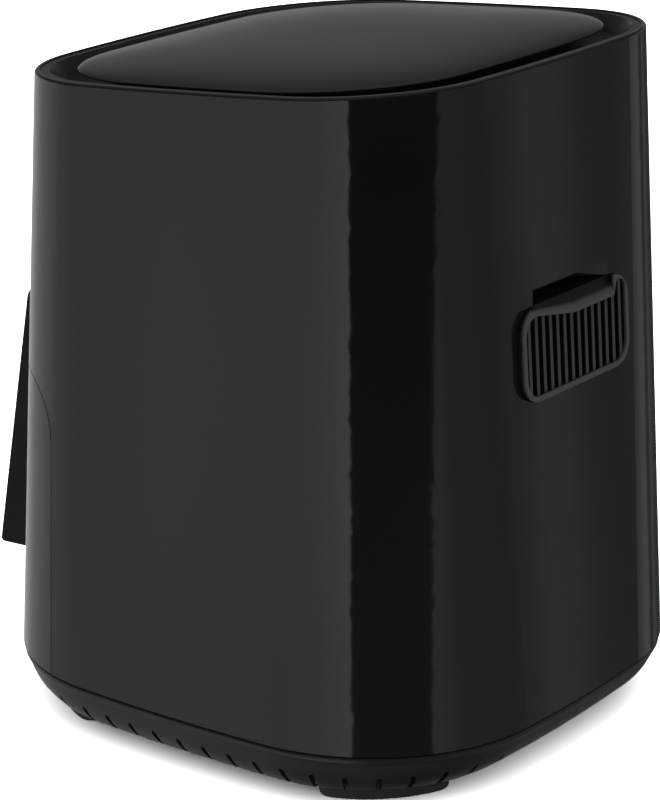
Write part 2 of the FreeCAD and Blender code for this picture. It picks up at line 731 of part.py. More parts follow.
CHAMBER_HALF_WIDTH = D.base_half_width - D.chamber_side_inset
CHAMBER_FRONT_Y = D.chamber_front_inset - D.base_half_depth
CHAMBER_REAR_Y = D.base_half_depth - D.chamber_rear_inset
MOUTH_TOP = D.drawer_top - D.mouth_drop
FRAME_TOP = MOUTH_TOP + D.frame_rise
FRAME_HALF_WIDTH = CHAMBER_HALF_WIDTH + D.frame_margin
DUCT_HIGH = D.chamber_roof - D.duct_drop
DUCT_LOW = DUCT_HIGH - D.duct_height
BASKET_HALF_WIDTH = CHAMBER_HALF_WIDTH - D.basket_side_gap
BASKET_REAR_Y = CHAMBER_REAR_Y - D.basket_rear_gap
SENSOR_X = D.sensor_side - CHAMBER_HALF_WIDTH
SENSOR_Y = CHAMBER_FRONT_Y + D.sensor_back

FAN_AXIS_Y = (CHAMBER_FRONT_Y + CHAMBER_REAR_Y) / 2 - D.fan_offset
REFLECTOR_LOW = D.chamber_roof - D.reflector_depth
SHIELD_HALF = CHAMBER_HALF_WIDTH - D.shield_inset
REFLECTOR_RADIUS = (CHAMBER_REAR_Y - CHAMBER_FRONT_Y) / 2 - D.reflector_gap
GUARD_RADIUS = REFLECTOR_RADIUS - D.guard_inset
COIL_OUTER = GUARD_RADIUS - D.coil_inset
COIL_INNER = COIL_OUTER - D.coil_pitch
COIL_HEIGHT = REFLECTOR_LOW - D.coil_drop
GUARD_HEIGHT = COIL_HEIGHT - D.coil_wire - D.guard_drop
FAN_RADIUS = COIL_INNER - D.coil_wire - D.fan_gap
FAN_PLATE_HEIGHT = REFLECTOR_LOW - D.fan_drop


# ---------------------------------------------------------------------------
# Housing form
# ---------------------------------------------------------------------------


def body_section(height, inset=0):
    """Half width, half depth, corner radius and flank radius of the housing at a height, inset by a wall."""
    share = (as_size(height) - D.shell_bottom) / (D.rim_height - D.shell_bottom)
    half_x = D.base_half_width + (RIM_HALF_WIDTH - D.base_half_width) * share
    half_y = D.base_half_depth + (RIM_HALF_DEPTH - D.base_half_depth) * share
    corner = D.base_corner_radius + (D.rim_corner_radius - D.base_corner_radius) * share
    return half_x - inset, half_y - inset, corner - inset, D.side_bow_radius - inset


def body_loft(body, low, high, inset=0, cut=False):
    """The housing's tapered form between two heights, inset by a wall."""
    sketches = []
    for height in (low, high):
        sketch = sketch_on(body, "XY_Plane", lift=height)
        crowned_square(sketch, *body_section(height, inset))
        sketches.append(sketch)
    return loft(body, sketches, cut)


def rim_at(depth_y, drop=0):
    """Height of the tilted rim plane at a place along the depth."""
    return D.rim_height + tangent(D.rim_tilt) * depth_y - drop


REACH = 200  # beyond every outline, for cuts that run out of the part
LOFT_TOP = D.rim_height + 15


def trim_above_rim(body, drop):
    """Cut away what stands above the rim plane lowered by a drop."""
    sketch = sketch_on(body, "YZ_Plane")
    rounded_polygon(sketch, [
        (-REACH, rim_at(-REACH, drop), 0), (REACH, rim_at(REACH, drop), 0),
        (REACH, D.rim_height + REACH, 0), (-REACH, D.rim_height + REACH, 0)])
    return pocket(body, sketch, 2 * REACH, both=True)


def trim_below_rim(body, drop):
    """Cut away what hangs below the rim plane lowered by a drop."""
    sketch = sketch_on(body, "YZ_Plane")
    rounded_polygon(sketch, [
        (-REACH, rim_at(-REACH, drop), 0), (-REACH, 0, 0),
        (REACH, 0, 0), (REACH, rim_at(REACH, drop), 0)])
    return pocket(body, sketch, 2 * REACH, both=True)


def on_rim_plane(edge, drop=0, slack=0.01):
    """Whether an edge lies on the tilted rim plane lowered by a drop."""
    slope = math.tan(math.radians(D.rim_tilt.value))
    level = D.rim_height.value - as_size(drop).value
    return all(abs(spot.z - slope * spot.y - level) < slack for spot in edge.discretize(5))


# Rear face: a plane that leans with the housing, through the grille's middle

WALL_LEAN_RUN = (D.base_half_depth - RIM_HALF_DEPTH) / (D.rim_height - D.shell_bottom)
WALL_LEAN = Size(math.degrees(math.atan(WALL_LEAN_RUN.value)), f"(atan({WALL_LEAN_RUN.text}) / 1 deg)")
REAR_Y = body_section(D.vent_height)[1]


def rear_sketch(body, out=0):
    """A sketch on the leaning rear face at the grille's middle, moved out along the face's normal."""
    return sketch_on(
        body, "XZ_Plane",
        lift=-(REAR_Y + cosine(WALL_LEAN) * out),
        shift=(0, D.vent_height + sine(WALL_LEAN) * out),
        tilt=WALL_LEAN)


VENT_TOP = D.vent_height + D.vent_half_height * cosine(WALL_LEAN)
RECESS_FRONT = body_section(VENT_TOP)[1]


def recess_outline(sketch, grow=0, out=0):
    """Plan trapezoid of the recess over the grille, run out through the wall."""
    back = RECESS_FRONT - D.recess_depth - grow
    front = RECESS_FRONT + out
    flare = (D.vent_notch_half - D.recess_back_half) / D.recess_depth
    rounded_polygon(sketch, [
        (-D.recess_back_half - grow, back, 2.5), (D.recess_back_half + grow, back, 2.5),
        (D.vent_notch_half + grow + flare * out, front, 0),
        (-D.vent_notch_half - grow - flare * out, front, 0)])


# Drawer front: where it parts from the housing, seen from the side


def drawer_outline(sketch, gap):
    """Side outline of the drawer front's opening, grown by a gap."""
    rounded_polygon(sketch, [
        (DRAWER_SEAM_Y + gap, 0, 0), (DRAWER_SEAM_Y + gap, D.drawer_top + gap, D.drawer_corner),
        (-REACH, D.drawer_top + gap, 0), (-REACH, 0, 0)])


# ---------------------------------------------------------------------------
# Outer shell
# ---------------------------------------------------------------------------

body = new_body("Shell")
body_loft(body, D.shell_bottom + D.seam_gap, LOFT_TOP)
trim_above_rim(body, 0)
round_edges(body, D.rim_round, on_rim_plane)
body_loft(body, D.shell_bottom, LOFT_TOP + 1, D.shell_wall, cut=True)
recess = sketch_on(body, "XY_Plane", lift=VENT_TOP + D.vent_fit)
recess_outline(recess, grow=D.recess_wall, out=-D.shell_wall / 2)
pad(body, recess, D.recess_height + D.recess_wall)
opening = sketch_on(body, "YZ_Plane")
drawer_outline(opening, D.drawer_gap)
pocket(body, opening, 2 * REACH, both=True)
hole = rear_sketch(body)
rounded_rectangle(
    hole, -D.vent_half_width - D.vent_fit, -D.vent_half_height - D.vent_fit,
    D.vent_half_width + D.vent_fit, D.vent_half_height + D.vent_fit, D.vent_corner + D.vent_fit)
pocket(body, hole, 24, both=True)
hollow = sketch_on(body, "XY_Plane", lift=VENT_TOP)
recess_outline(hollow, out=6)
pocket(body, hollow, D.recess_height + D.vent_fit, flip=True)
window = sketch_on(body, "XZ_Plane")
rounded_rectangle(
    window, -D.fascia_half_width - D.fascia_fit, FASCIA_BOTTOM - D.fascia_fit,
    D.fascia_half_width + D.fascia_fit, FASCIA_TOP + D.fascia_fit, D.fascia_corner + D.fascia_fit)
pocket(body, window, REACH, flip=True)
outer_shell = piece(body, "outer_shell")

# ---------------------------------------------------------------------------
# Top bezel and lid
# ---------------------------------------------------------------------------

body = new_body("Bezel")
BEZEL_INSET = D.shell_wall + D.bezel_gap
body_loft(body, D.rim_height - 40, LOFT_TOP, BEZEL_INSET)
trim_above_rim(body, D.bezel_drop)
trim_below_rim(body, D.bezel_drop + D.channel_depth + D.bezel_floor)
channel = []
for deep, inset in ((-0.2, D.bezel_lip), (D.channel_depth, D.bezel_lip + D.channel_slope)):
    sketch = sketch_on(body, "XY_Plane", lift=D.rim_height - D.bezel_drop - deep, tilt=D.rim_tilt)
    crowned_square(sketch, *body_section(D.rim_height, BEZEL_INSET + inset))
    channel.append(sketch)
loft(body, channel, cut=True)
piece(body, "top_bezel")

body = new_body("Lid")
LID_BASE = D.rim_height - D.lid_lift


def lid_outline(rise, inset):
    """The lid's plan at a height over its underside, parallel to the rim plane."""
    sketch = sketch_on(body, "XY_Plane", lift=LID_BASE + rise, tilt=D.rim_tilt)
    crowned_square(
        sketch, LID_HALF_WIDTH - inset, LID_HALF_DEPTH - inset,
        D.lid_corner_radius - inset * 0.8, D.side_bow_radius - inset)
    return sketch


pad(body, lid_outline(0, 0), D.lid_edge)
pillow = []
for share in (0, 0.02, 0.08, 0.2, 0.42, 0.7, 1):
    bulge = math.sqrt(1 - (1 - share) ** 2.2)
    pillow.append(lid_outline(
        D.lid_edge - D.lid_bead + (D.lid_crown + D.lid_bead) * bulge,
        D.lid_bead + D.lid_roll * share))
loft(body, pillow, ruled=False)
pad(body, lid_outline(0.1, D.plinth_inset), D.bezel_drop + D.channel_depth - D.lid_lift, flip=True)
piece(body, "top_lid")

# ---------------------------------------------------------------------------
# Base pan with its air slots, feet and cord gland
# ---------------------------------------------------------------------------

SKIRT_MIDDLE = (D.shell_bottom + D.skirt_bottom) / 2


def skirt_section(height, inset=0):
    """Skirt outline at a height, inset by a wall; it swells most half way up."""
    top = body_section(D.shell_bottom, D.skirt_step + inset)
    bottom = (SKIRT_HALF_WIDTH - inset, SKIRT_HALF_DEPTH - inset,
              D.skirt_corner_radius - inset, D.side_bow_radius - inset)
    share = (height - D.skirt_bottom) / (D.shell_bottom - D.skirt_bottom)
    swell = D.skirt_swell * 4 * share * (1 - share)
    return tuple(low + (high - low) * share + swell for high, low in zip(top, bottom))


def skirt_loft(body, inset=0, cut=False):
    sketches = []
    for height in (D.skirt_bottom, SKIRT_MIDDLE, D.shell_bottom):
        sketch = sketch_on(body, "XY_Plane", lift=height)
        crowned_square(sketch, *skirt_section(height, inset))
        sketches.append(sketch)
    return loft(body, sketches, cut, ruled=False)


SLOT_ROUND = D.slot_width * 0.48
CORNER_X = SKIRT_HALF_WIDTH - D.skirt_corner_radius
CORNER_Y = SKIRT_HALF_DEPTH - D.skirt_corner_radius


def slot_outline(sketch, middle=0):
    """An air slot open at the skirt's lower edge, with a round top."""
    half = D.slot_width / 2
    rounded_polygon(sketch, [
        (middle - half, 0, 0), (middle + half, 0, 0),
        (middle + half, D.slot_top, SLOT_ROUND), (middle - half, D.slot_top, SLOT_ROUND)])


body = new_body("BasePan")
skirt_loft(body)
round_edges(body, D.skirt_round, lambda edge: edge.BoundBox.ZMin > D.shell_bottom.value - 0.01)
inner = skirt_loft(body, D.skirt_wall, cut=True)
plate = sketch_on(body, "XY_Plane", lift=D.floor_height)
crowned_square(plate, *skirt_section(D.floor_height, D.skirt_wall / 2))
pad(body, plate, D.floor_thickness)

FLOOR_TOP = D.floor_height + D.floor_thickness
ribs = sketch_on(body, "XY_Plane", lift=FLOOR_TOP - 0.5)
for sign in (1, -1):
    near = sign * D.rib_x - D.rib_width / 2
    far = sign * D.rib_x + D.rib_width / 2
    rounded_rectangle(ribs, near, -D.screw_y - 20, far, D.screw_y + 20)
pad(body, ribs, D.rib_height + 0.5)
holes = sketch_on(body, "XY_Plane", lift=D.floor_height)
circle(holes, 0, GLAND_Y, D.gland_radius)
for x in (D.rib_x, -D.rib_x):
    for y in (D.screw_y, -D.screw_y):
        circle(holes, x, y, D.base_screw_radius + D.screw_play)
pocket(body, holes, REACH, flip=True)

SIDE_SLOTS = 9
side = sketch_on(body, "YZ_Plane", shift=(-D.slot_pitch * (SIDE_SLOTS + 1) / 2, 0))
slot_outline(side)
first = pocket(body, side, 2 * REACH, both=True)
row_of(body, first, side, "H_Axis", D.slot_pitch, SIDE_SLOTS)
for sign in (1, -1):
    ends = sketch_on(body, "XZ_Plane", shift=(sign * D.slot_free_half, 0))
    slot_outline(ends)
    pocket(body, ends, 2 * REACH, both=True)
CORNER_SLOTS = 7
slot_turn = D.slot_pitch / D.skirt_corner_radius * (180 / math.pi)
for quarter in range(4):
    sx = 1 if quarter in (0, 3) else -1
    sy = 1 if quarter in (0, 1) else -1
    start = 90 * quarter + 45 - slot_turn.value * (CORNER_SLOTS - 1) / 2
    corner = standing_sketch(body, CORNER_X * sx, CORNER_Y * sy, start - 90)
    slot_outline(corner)
    first = pocket(body, corner, D.skirt_corner_radius + 20)
    ring_of(body, first, corner, "V_Axis", slot_turn, CORNER_SLOTS)
base_pan = body
piece(body, "base_pan")

# ---------------------------------------------------------------------------
# Feet and cord gland
# ---------------------------------------------------------------------------

FOOT_NAMES = ("rear_right", "rear_left", "front_left", "front_right")
FOOT_OUTER = D.skirt_corner_radius - D.skirt_wall - D.foot_inset
FOOT_INNER = FOOT_OUTER - D.foot_width
for quarter, corner_name in enumerate(FOOT_NAMES):
    sx = 1 if quarter in (0, 3) else -1
    sy = 1 if quarter in (0, 1) else -1
    body = new_body("Foot")
    crescent = sketch_on(body, "XY_Plane", shift=(CORNER_X * sx, CORNER_Y * sy))
    crescent_outline(crescent, FOOT_INNER, FOOT_OUTER, 90 * quarter + 22, 90 * quarter + 68)
    pad(body, crescent, D.floor_height)
    round_edges(body, D.foot_round, lambda edge: edge.BoundBox.ZMax < 0.01)
    piece(body, f"foot_{corner_name}")

# ---------------------------------------------------------------------------
# Exhaust grille
# ---------------------------------------------------------------------------

body = new_body("Grille")
frame = rear_sketch(body, out=D.vent_proud)
half_x, half_z = D.vent_half_width, D.vent_half_height
rounded_rectangle(frame, -half_x, -half_z, half_x, half_z, D.vent_corner)
pad(body, frame, D.vent_proud + D.vent_sunk)
low = D.vent_rim - half_z
high = half_z - D.vent_rim
dipped = high - D.vent_notch_depth
edge_x = half_x - D.vent_rim
round_in = D.vent_corner - D.vent_rim
inside = rear_sketch(body, out=D.vent_proud)
rounded_polygon(inside, [
    (-edge_x, low, round_in), (edge_x, low, round_in), (edge_x, high, 9),
    (D.dip_near, dipped, 12), (-D.dip_end, dipped, 1.5), (-D.dip_end - D.vent_rim, high, 1.5),
    (-edge_x, high, 5)])
pocket(body, inside, flip=True)
BARS = 14
bar = rear_sketch(body, out=D.vent_proud - D.bar_recess)
first_x = -D.bar_pitch * (BARS - 1) / 2
rounded_rectangle(
    bar, first_x - D.bar_width / 2, low - D.vent_rim / 10, first_x + D.bar_width / 2, half_z - D.bar_cover)
first = pad(body, bar, D.bar_depth)
row_of(body, first, bar, "H_Axis", D.bar_pitch, BARS)


def dip_section(at, depth):
    """Cross-section of the dip in the frame's upper edge, at a place along the frame."""
    dip = sketch_on(body, "YZ_Plane", lift=at, shift=(REAR_Y, D.vent_height), roll=WALL_LEAN)
    rounded_polygon(dip, [
        (-1, half_z, 0), (D.vent_proud + 1, half_z - depth * (1 + 1 / D.vent_proud), 0),
        (D.vent_proud + 1, half_z + 4, 0), (-1, half_z + 4, 0)])
    return dip


level = dip_section(D.dip_near, D.vent_notch_depth)
pocket(body, level, D.dip_near + D.dip_end)
slope = [dip_section(D.dip_near - 0.1, D.vent_notch_depth), dip_section(D.dip_near + D.dip_run, 0.1)]
loft(body, slope, cut=True)
ledge = sketch_on(body, "XY_Plane", lift=VENT_TOP)
recess_outline(ledge, out=-D.shell_wall)
pad(body, ledge, D.ledge_thickness, flip=True)
vent_grille = piece(body, "vent_grille")

# ---------------------------------------------------------------------------
# Control fascia
# ---------------------------------------------------------------------------

body = new_body("FasciaWall")
body_loft(body, FASCIA_BOTTOM - 10, FASCIA_TOP + 10)
body_loft(body, FASCIA_BOTTOM - 11, FASCIA_TOP + 11, D.shell_wall, cut=True)
fascia_wall = body
body = new_body("FasciaOutline")
sketch = sketch_on(body, "XZ_Plane")
rounded_rectangle(
    sketch, -D.fascia_half_width, FASCIA_BOTTOM, D.fascia_half_width, FASCIA_TOP, D.fascia_corner)
pad(body, sketch, REACH)
piece(common("Fascia", fascia_wall, body), "control_fascia")

# ---------------------------------------------------------------------------
# Drawer front, handle and what joins them
# ---------------------------------------------------------------------------

CAP_BOTTOM = D.drawer_top - D.drawer_skin
body = new_body("DrawerFront")
body_loft(body, D.shell_bottom + D.drawer_gap, D.drawer_top + 5)
behind = sketch_on(body, "YZ_Plane")
rounded_polygon(behind, [
    (-REACH, D.drawer_top, 0), (DRAWER_SEAM_Y, D.drawer_top, D.drawer_corner),
    (DRAWER_SEAM_Y, 0, 0), (REACH, 0, 0), (REACH, REACH + 50, 0), (-REACH, REACH + 50, 0)])
pocket(body, behind, 2 * REACH, both=True)
body_loft(body, D.shell_bottom, CAP_BOTTOM, D.drawer_skin, cut=True)
screws = sketch_on(body, "XZ_Plane", lift=90)
for sign in (1, -1):
    circle(screws, sign * D.screw_spacing / 2, D.screw_height, D.screw_radius + D.screw_play)
pocket(body, screws, REACH, flip=True)
piece(body, "drawer_front")

# The liner stands behind the skin, just ahead of the chamber's front frame.
LINER_REAR = CHAMBER_FRONT_Y - D.liner_gap
LINER_FRONT = LINER_REAR - D.liner_thickness
LINER_TOP = D.drawer_top - D.drawer_skin - 1.5
body = new_body("LinerForm")
body_loft(body, D.shell_bottom + 3, LINER_TOP, D.drawer_skin + D.handle_seat_gap)
liner_form = body
slab = block("LinerSlab", (-REACH, LINER_FRONT, 0), (REACH, LINER_REAR, REACH))


def screw_bars(name, radius, near_y, far_y):
    """Round bars on the two handle screws' axes between two depths."""
    return [rod(f"{name}{number}", radius, (side * D.screw_spacing / 2, far_y, D.screw_height),
                near_y - far_y, "y") for number, side in enumerate((-1, 1))]


SCREW_NECK = LINER_REAR - D.liner_thickness / 2
SCREW_TIP = SCREW_NECK - D.screw_length
bore_radius = D.screw_radius + D.screw_play
head_bore = D.screw_head_radius + D.screw_play
piece(cut("Liner", common("LinerPlate", liner_form, slab), (
    screw_bars("LinerBore", bore_radius, LINER_REAR + 1, LINER_FRONT - 1)
    + screw_bars("LinerSink", head_bore, LINER_REAR + 1, SCREW_NECK))), "drawer_liner")
piece(group("HandleScrews", [
    fuse(f"HandleScrew{number}", [shank, head]) for number, (shank, head) in enumerate(zip(
        screw_bars("Shank", D.screw_radius, SCREW_NECK, SCREW_TIP),
        screw_bars("Head", D.screw_head_radius, LINER_REAR, SCREW_NECK)))]), "handle_screws")

BRACKET_TOP = D.screw_height + D.bracket_height / 2
BRACKET_LOW = D.screw_height - D.bracket_height / 2
BRACKET_FRONT = -(body_section(BRACKET_TOP)[1] - D.drawer_skin - D.handle_seat_gap)
half = D.bracket_width / 2
wall = D.bracket_wall
piece(cut("Bracket", block("BracketOuter", (-half, BRACKET_FRONT, BRACKET_LOW), (half, LINER_FRONT, BRACKET_TOP)), (
    [block("BracketHollow", (-REACH, BRACKET_FRONT + wall, BRACKET_LOW + wall),
           (REACH, LINER_FRONT - wall, BRACKET_TOP - wall))]
    + screw_bars("BracketBore", bore_radius, LINER_FRONT + 1, BRACKET_FRONT - 1))), "handle_bracket")

body = new_body("Handle")
side = sketch_on(body, "YZ_Plane")
lean = (HANDLE_LOW_REACH - HANDLE_TOP_REACH) / (D.handle_top - D.handle_bottom)
neck_reach = HANDLE_TOP_REACH + lean * (D.handle_top - D.neck_bottom) - D.grip_thickness
rounded_polygon(side, [
    (-120, D.handle_top + 3.5, 0), (-HANDLE_TOP_REACH, D.handle_top, 8),
    (-HANDLE_LOW_REACH, D.handle_bottom, 2.5),
    (D.grip_thickness - HANDLE_LOW_REACH, D.handle_bottom + 1, 3),
    (-neck_reach, D.neck_bottom, 10), (-120, D.neck_bottom, 0)])
pad(body, side, D.handle_width, both=True)
half_handle = D.handle_width.value / 2
round_edges(body, D.handle_round, lambda edge: (
    abs(abs(edge.CenterOfMass.x) - half_handle) < 0.01 and edge.BoundBox.YMin < -121))
body_loft(body, 20, D.handle_top + 20, -D.handle_seat_gap, cut=True)
bores = sketch_on(body, "XZ_Plane", lift=100)
for sign in (1, -1):
    circle(bores, sign * D.screw_spacing / 2, D.screw_height, bore_radius)
pocket(body, bores, -SCREW_TIP + 2 - 100, flip=True)
piece(body, "handle_grip")

piece(rod("Magnet", D.magnet_radius, (D.magnet_x, CHAMBER_FRONT_Y - D.magnet_back, CAP_BOTTOM - 4), 4),
      "drawer_magnet")
piece(block("Reed", (D.magnet_x - 9, CHAMBER_FRONT_Y - D.magnet_back - 4, D.drawer_top + 2),
            (D.magnet_x + 9, CHAMBER_FRONT_Y, D.drawer_top + 9)), "reed_switch")

# ---------------------------------------------------------------------------
# Base fasteners and cord gland
# ---------------------------------------------------------------------------

screw_spots = [(x, y) for x in (D.rib_x, -D.rib_x) for y in (D.screw_y, -D.screw_y)]
CHAMBER_BOTTOM = FLOOR_TOP + D.rib_height
piece(group("BaseScrews", [
    fuse(f"BaseScrew{number}", [
        rod(f"BaseShank{number}", D.base_screw_radius, (x, y, D.floor_height - 1), D.base_screw_length + 1),
        rod(f"BaseHead{number}", D.base_screw_radius * 2, (
            x, y, D.floor_height - D.screw_head_height), D.screw_head_height)])
    for number, (x, y) in enumerate(screw_spots)]), "base_screws")

body = new_body("Gland")
turned = sketch_on(body, "XZ_Plane", lift=-GLAND_Y)
lip = D.gland_radius + D.gland_lip
neck = D.gland_radius - D.gland_play
under = D.floor_height - D.gland_lip_height
over = FLOOR_TOP + D.gland_play
rounded_polygon(turned, [
    (D.cord_bore, under - D.gland_lip_height, 0), (D.gland_radius, under - D.gland_lip_height, 1),
    (lip, under, 0), (lip, D.floor_height, 0), (neck, D.floor_height, 0), (neck, over, 0),
    (lip, over, 0), (lip, FLOOR_TOP + D.gland_lip_height, 0),
    (D.cord_bore, FLOOR_TOP + D.gland_lip_height, 0)])
revolve(body, turned)
piece(body, "cord_gland")

# ---------------------------------------------------------------------------
# Cooking chamber and its fittings
# ---------------------------------------------------------------------------

CHAMBER_FRONT = CHAMBER_FRONT_Y + D.sheet
ROOF_TOP = D.chamber_roof + D.sheet


def chamber_outline(sketch, grow, front):
    """Chamber plan with square front and round rear corners, grown by the sheet."""
    half = CHAMBER_HALF_WIDTH + grow
    rear = CHAMBER_REAR_Y + grow
    corner = D.chamber_corner + grow
    rounded_polygon(sketch, [(-half, front, 0), (half, front, 0), (half, rear, corner), (-half, rear, corner)])


LEG_ANGLE = 108      # plan angle of the heater's two legs, from +X towards the rear
leg_x = [radius * cosine(LEG_ANGLE) for radius in (COIL_OUTER, COIL_INNER)]
leg_y = [FAN_AXIS_Y + radius * sine(LEG_ANGLE) for radius in (COIL_OUTER, COIL_INNER)]


def roof_holes(sketch, shaft_hole):
    """Openings for the motor shaft and the heater's legs."""
    circle(sketch, 0, FAN_AXIS_Y, shaft_hole)
    for x, y in zip(leg_x, leg_y):
        circle(sketch, x, y, D.coil_wire + D.leg_play)


body = new_body("Chamber")
outside = sketch_on(body, "XY_Plane", lift=CHAMBER_BOTTOM)
chamber_outline(outside, D.sheet, CHAMBER_FRONT)
pad(body, outside, ROOF_TOP - CHAMBER_BOTTOM)
inside = sketch_on(body, "XY_Plane", lift=CHAMBER_BOTTOM + D.sheet)
chamber_outline(inside, 0, CHAMBER_FRONT - 5)
pocket(body, inside, D.chamber_roof - CHAMBER_BOTTOM - D.sheet, flip=True)
exhaust = sketch_on(body, "XZ_Plane")
rounded_rectangle(exhaust, -D.duct_half_width, DUCT_LOW, D.duct_half_width, DUCT_HIGH, 5)
pocket(body, exhaust, REACH)
top_holes = sketch_on(body, "XY_Plane", lift=D.chamber_roof - 1)
roof_holes(top_holes, D.shaft_hole)
circle(top_holes, SENSOR_X, SENSOR_Y, D.sensor_radius + D.sensor_play)
pocket(body, top_holes, 10, flip=True)
bottom_holes = sketch_on(body, "XY_Plane", lift=CHAMBER_BOTTOM - 1)
for x, y in screw_spots:
    circle(bottom_holes, x, y, D.base_screw_radius + D.screw_play)
pocket(body, bottom_holes, D.sheet + 2, flip=True)
piece(body, "cooking_chamber")

body = new_body("FrontFrame")
plate = sketch_on(body, "XZ_Plane", lift=-CHAMBER_FRONT)
rounded_polygon(plate, [
    (-FRAME_HALF_WIDTH, CHAMBER_BOTTOM, 0), (FRAME_HALF_WIDTH, CHAMBER_BOTTOM, 0),
    (FRAME_HALF_WIDTH, FRAME_TOP, 12), (-FRAME_HALF_WIDTH, FRAME_TOP, 12)])
pad(body, plate, D.sheet)
mouth = sketch_on(body, "XZ_Plane")
rounded_rectangle(
    mouth, -CHAMBER_HALF_WIDTH, D.mouth_sill, CHAMBER_HALF_WIDTH, MOUTH_TOP, 5)
pocket(body, mouth, REACH, flip=True)
piece(body, "chamber_front_frame")

FLANGE_LOW = D.basket_top - D.basket_wall
RAIL_TOP = FLANGE_LOW - D.rail_play
RAIL_IN = CHAMBER_HALF_WIDTH - D.rail_width
RAIL_END = CHAMBER_REAR_Y - D.chamber_corner
for side_name, sign in (("left", -1), ("right", 1)):
    body = new_body("Rail")
    wide = RAIL_IN if sign > 0 else -CHAMBER_HALF_WIDTH
    profile = sketch_on(body, "YZ_Plane", lift=wide)
    rounded_polygon(profile, [
        (CHAMBER_FRONT + 1, RAIL_TOP - D.rail_height, 0), (RAIL_END, RAIL_TOP - D.rail_height, 0),
        (RAIL_END, RAIL_TOP, 0), (CHAMBER_FRONT + 7, RAIL_TOP, 0),
        (CHAMBER_FRONT + 1, RAIL_TOP - 3, 1)])
    pad(body, profile, D.rail_width)
    piece(body, f"drawer_rail_{side_name}")

body = new_body("Duct")


def duct_sections(inset, run_out):
    """Inlet on the chamber's rear wall and wider outlet on the grille's back."""
    inlet = sketch_on(body, "XZ_Plane", lift=-(CHAMBER_REAR_Y + D.sheet) + run_out)
    rounded_rectangle(
        inlet, inset - D.duct_half_width - D.duct_wall, DUCT_LOW - D.duct_wall + inset,
        D.duct_half_width + D.duct_wall - inset, DUCT_HIGH + D.duct_wall - inset, D.duct_corner - inset)
    outlet = rear_sketch(body, out=-D.vent_sunk + run_out)
    across = D.vent_half_width - 1.5 - inset
    rounded_rectangle(
        outlet, -across, -D.vent_half_height + 1.5 + inset, across,
        D.vent_half_height - D.vent_rim - 0.4 - inset, D.vent_corner - 1.5 - inset)
    return [inlet, outlet]


loft(body, duct_sections(0, 0))
loft(body, duct_sections(D.duct_wall, 0), cut=True)
piece(body, "exhaust_duct")

# ---------------------------------------------------------------------------
# Heater, guard and reflector, hung from the chamber's roof
# ---------------------------------------------------------------------------


def fan_sketch(body, height):
    """A level sketch centred on the fan's axis."""
    return sketch_on(body, "XY_Plane", lift=height, shift=(0, FAN_AXIS_Y))


body = new_body("Reflector")
turned = sketch_on(body, "XZ_Plane", lift=-FAN_AXIS_Y)
rounded_polygon(turned, [
    (D.shaft_hole, REFLECTOR_LOW, 0), (REFLECTOR_RADIUS - 2, REFLECTOR_LOW, 1.5),
    (REFLECTOR_RADIUS, D.chamber_roof, 0), (REFLECTOR_RADIUS - 1, D.chamber_roof, 0),
    (REFLECTOR_RADIUS - 2.9, REFLECTOR_LOW + 1, 0.5), (D.shaft_hole, REFLECTOR_LOW + 1, 0)])
revolve(body, turned)
legs = sketch_on(body, "XY_Plane", lift=REFLECTOR_LOW - 1)
for x, y in zip(leg_x, leg_y):
    circle(legs, x, y, D.coil_wire + D.leg_play)
pocket(body, legs, 10, flip=True)
piece(body, "heat_reflector")

body = new_body("Coil")
path = fan_sketch(body, COIL_HEIGHT)
turn_back = (COIL_OUTER - COIL_INNER) / 2
mean = (COIL_OUTER + COIL_INNER) / 2
BACK_ANGLE = 180 - LEG_ANGLE
first, last = math.radians(LEG_ANGLE), math.radians(BACK_ANGLE + 360)
up = Vector(0, 0, 1)
outer_turn = path.addGeometry(Part.ArcOfCircle(Part.Circle(Vector(), up, COIL_OUTER.value), first, last))
inner_turn = path.addGeometry(Part.ArcOfCircle(Part.Circle(Vector(), up, COIL_INNER.value), first, last))
spot = Vector(mean.value * math.cos(last), mean.value * math.sin(last), 0)
bend = path.addGeometry(Part.ArcOfCircle(Part.Circle(spot, up, turn_back.value), last, last + math.pi))
relate(path, "Tangent", outer_turn, END, bend, START)
relate(path, "Tangent", bend, END, inner_turn, END)
place_point(path, outer_turn, CENTRE, 0, 0)
relate(path, "Coincident", inner_turn, CENTRE, outer_turn, CENTRE)
dimension(path, "Radius", outer_turn, COIL_OUTER)
dimension(path, "Radius", inner_turn, COIL_INNER)
dimension(path, "DistanceX", *ORIGIN, bend, CENTRE, mean * cosine(BACK_ANGLE))
for item, radius in ((outer_turn, COIL_OUTER), (inner_turn, COIL_INNER)):
    dimension(path, "DistanceX", item, START, *ORIGIN, -(radius * cosine(LEG_ANGLE)))
tube = standing_sketch(body, 0, FAN_AXIS_Y, LEG_ANGLE)
circle(tube, COIL_OUTER, COIL_HEIGHT, D.coil_wire)
pipe = body.newObject("PartDesign::AdditivePipe", "Tube")
pipe.Profile = tube
pipe.Spine = (path, [])
feet = sketch_on(body, "XY_Plane", lift=COIL_HEIGHT - D.coil_wire)
for x, y in zip(leg_x, leg_y):
    circle(feet, x, y, D.coil_wire)
pad(body, feet, D.leg_height)
piece(body, "heating_element")

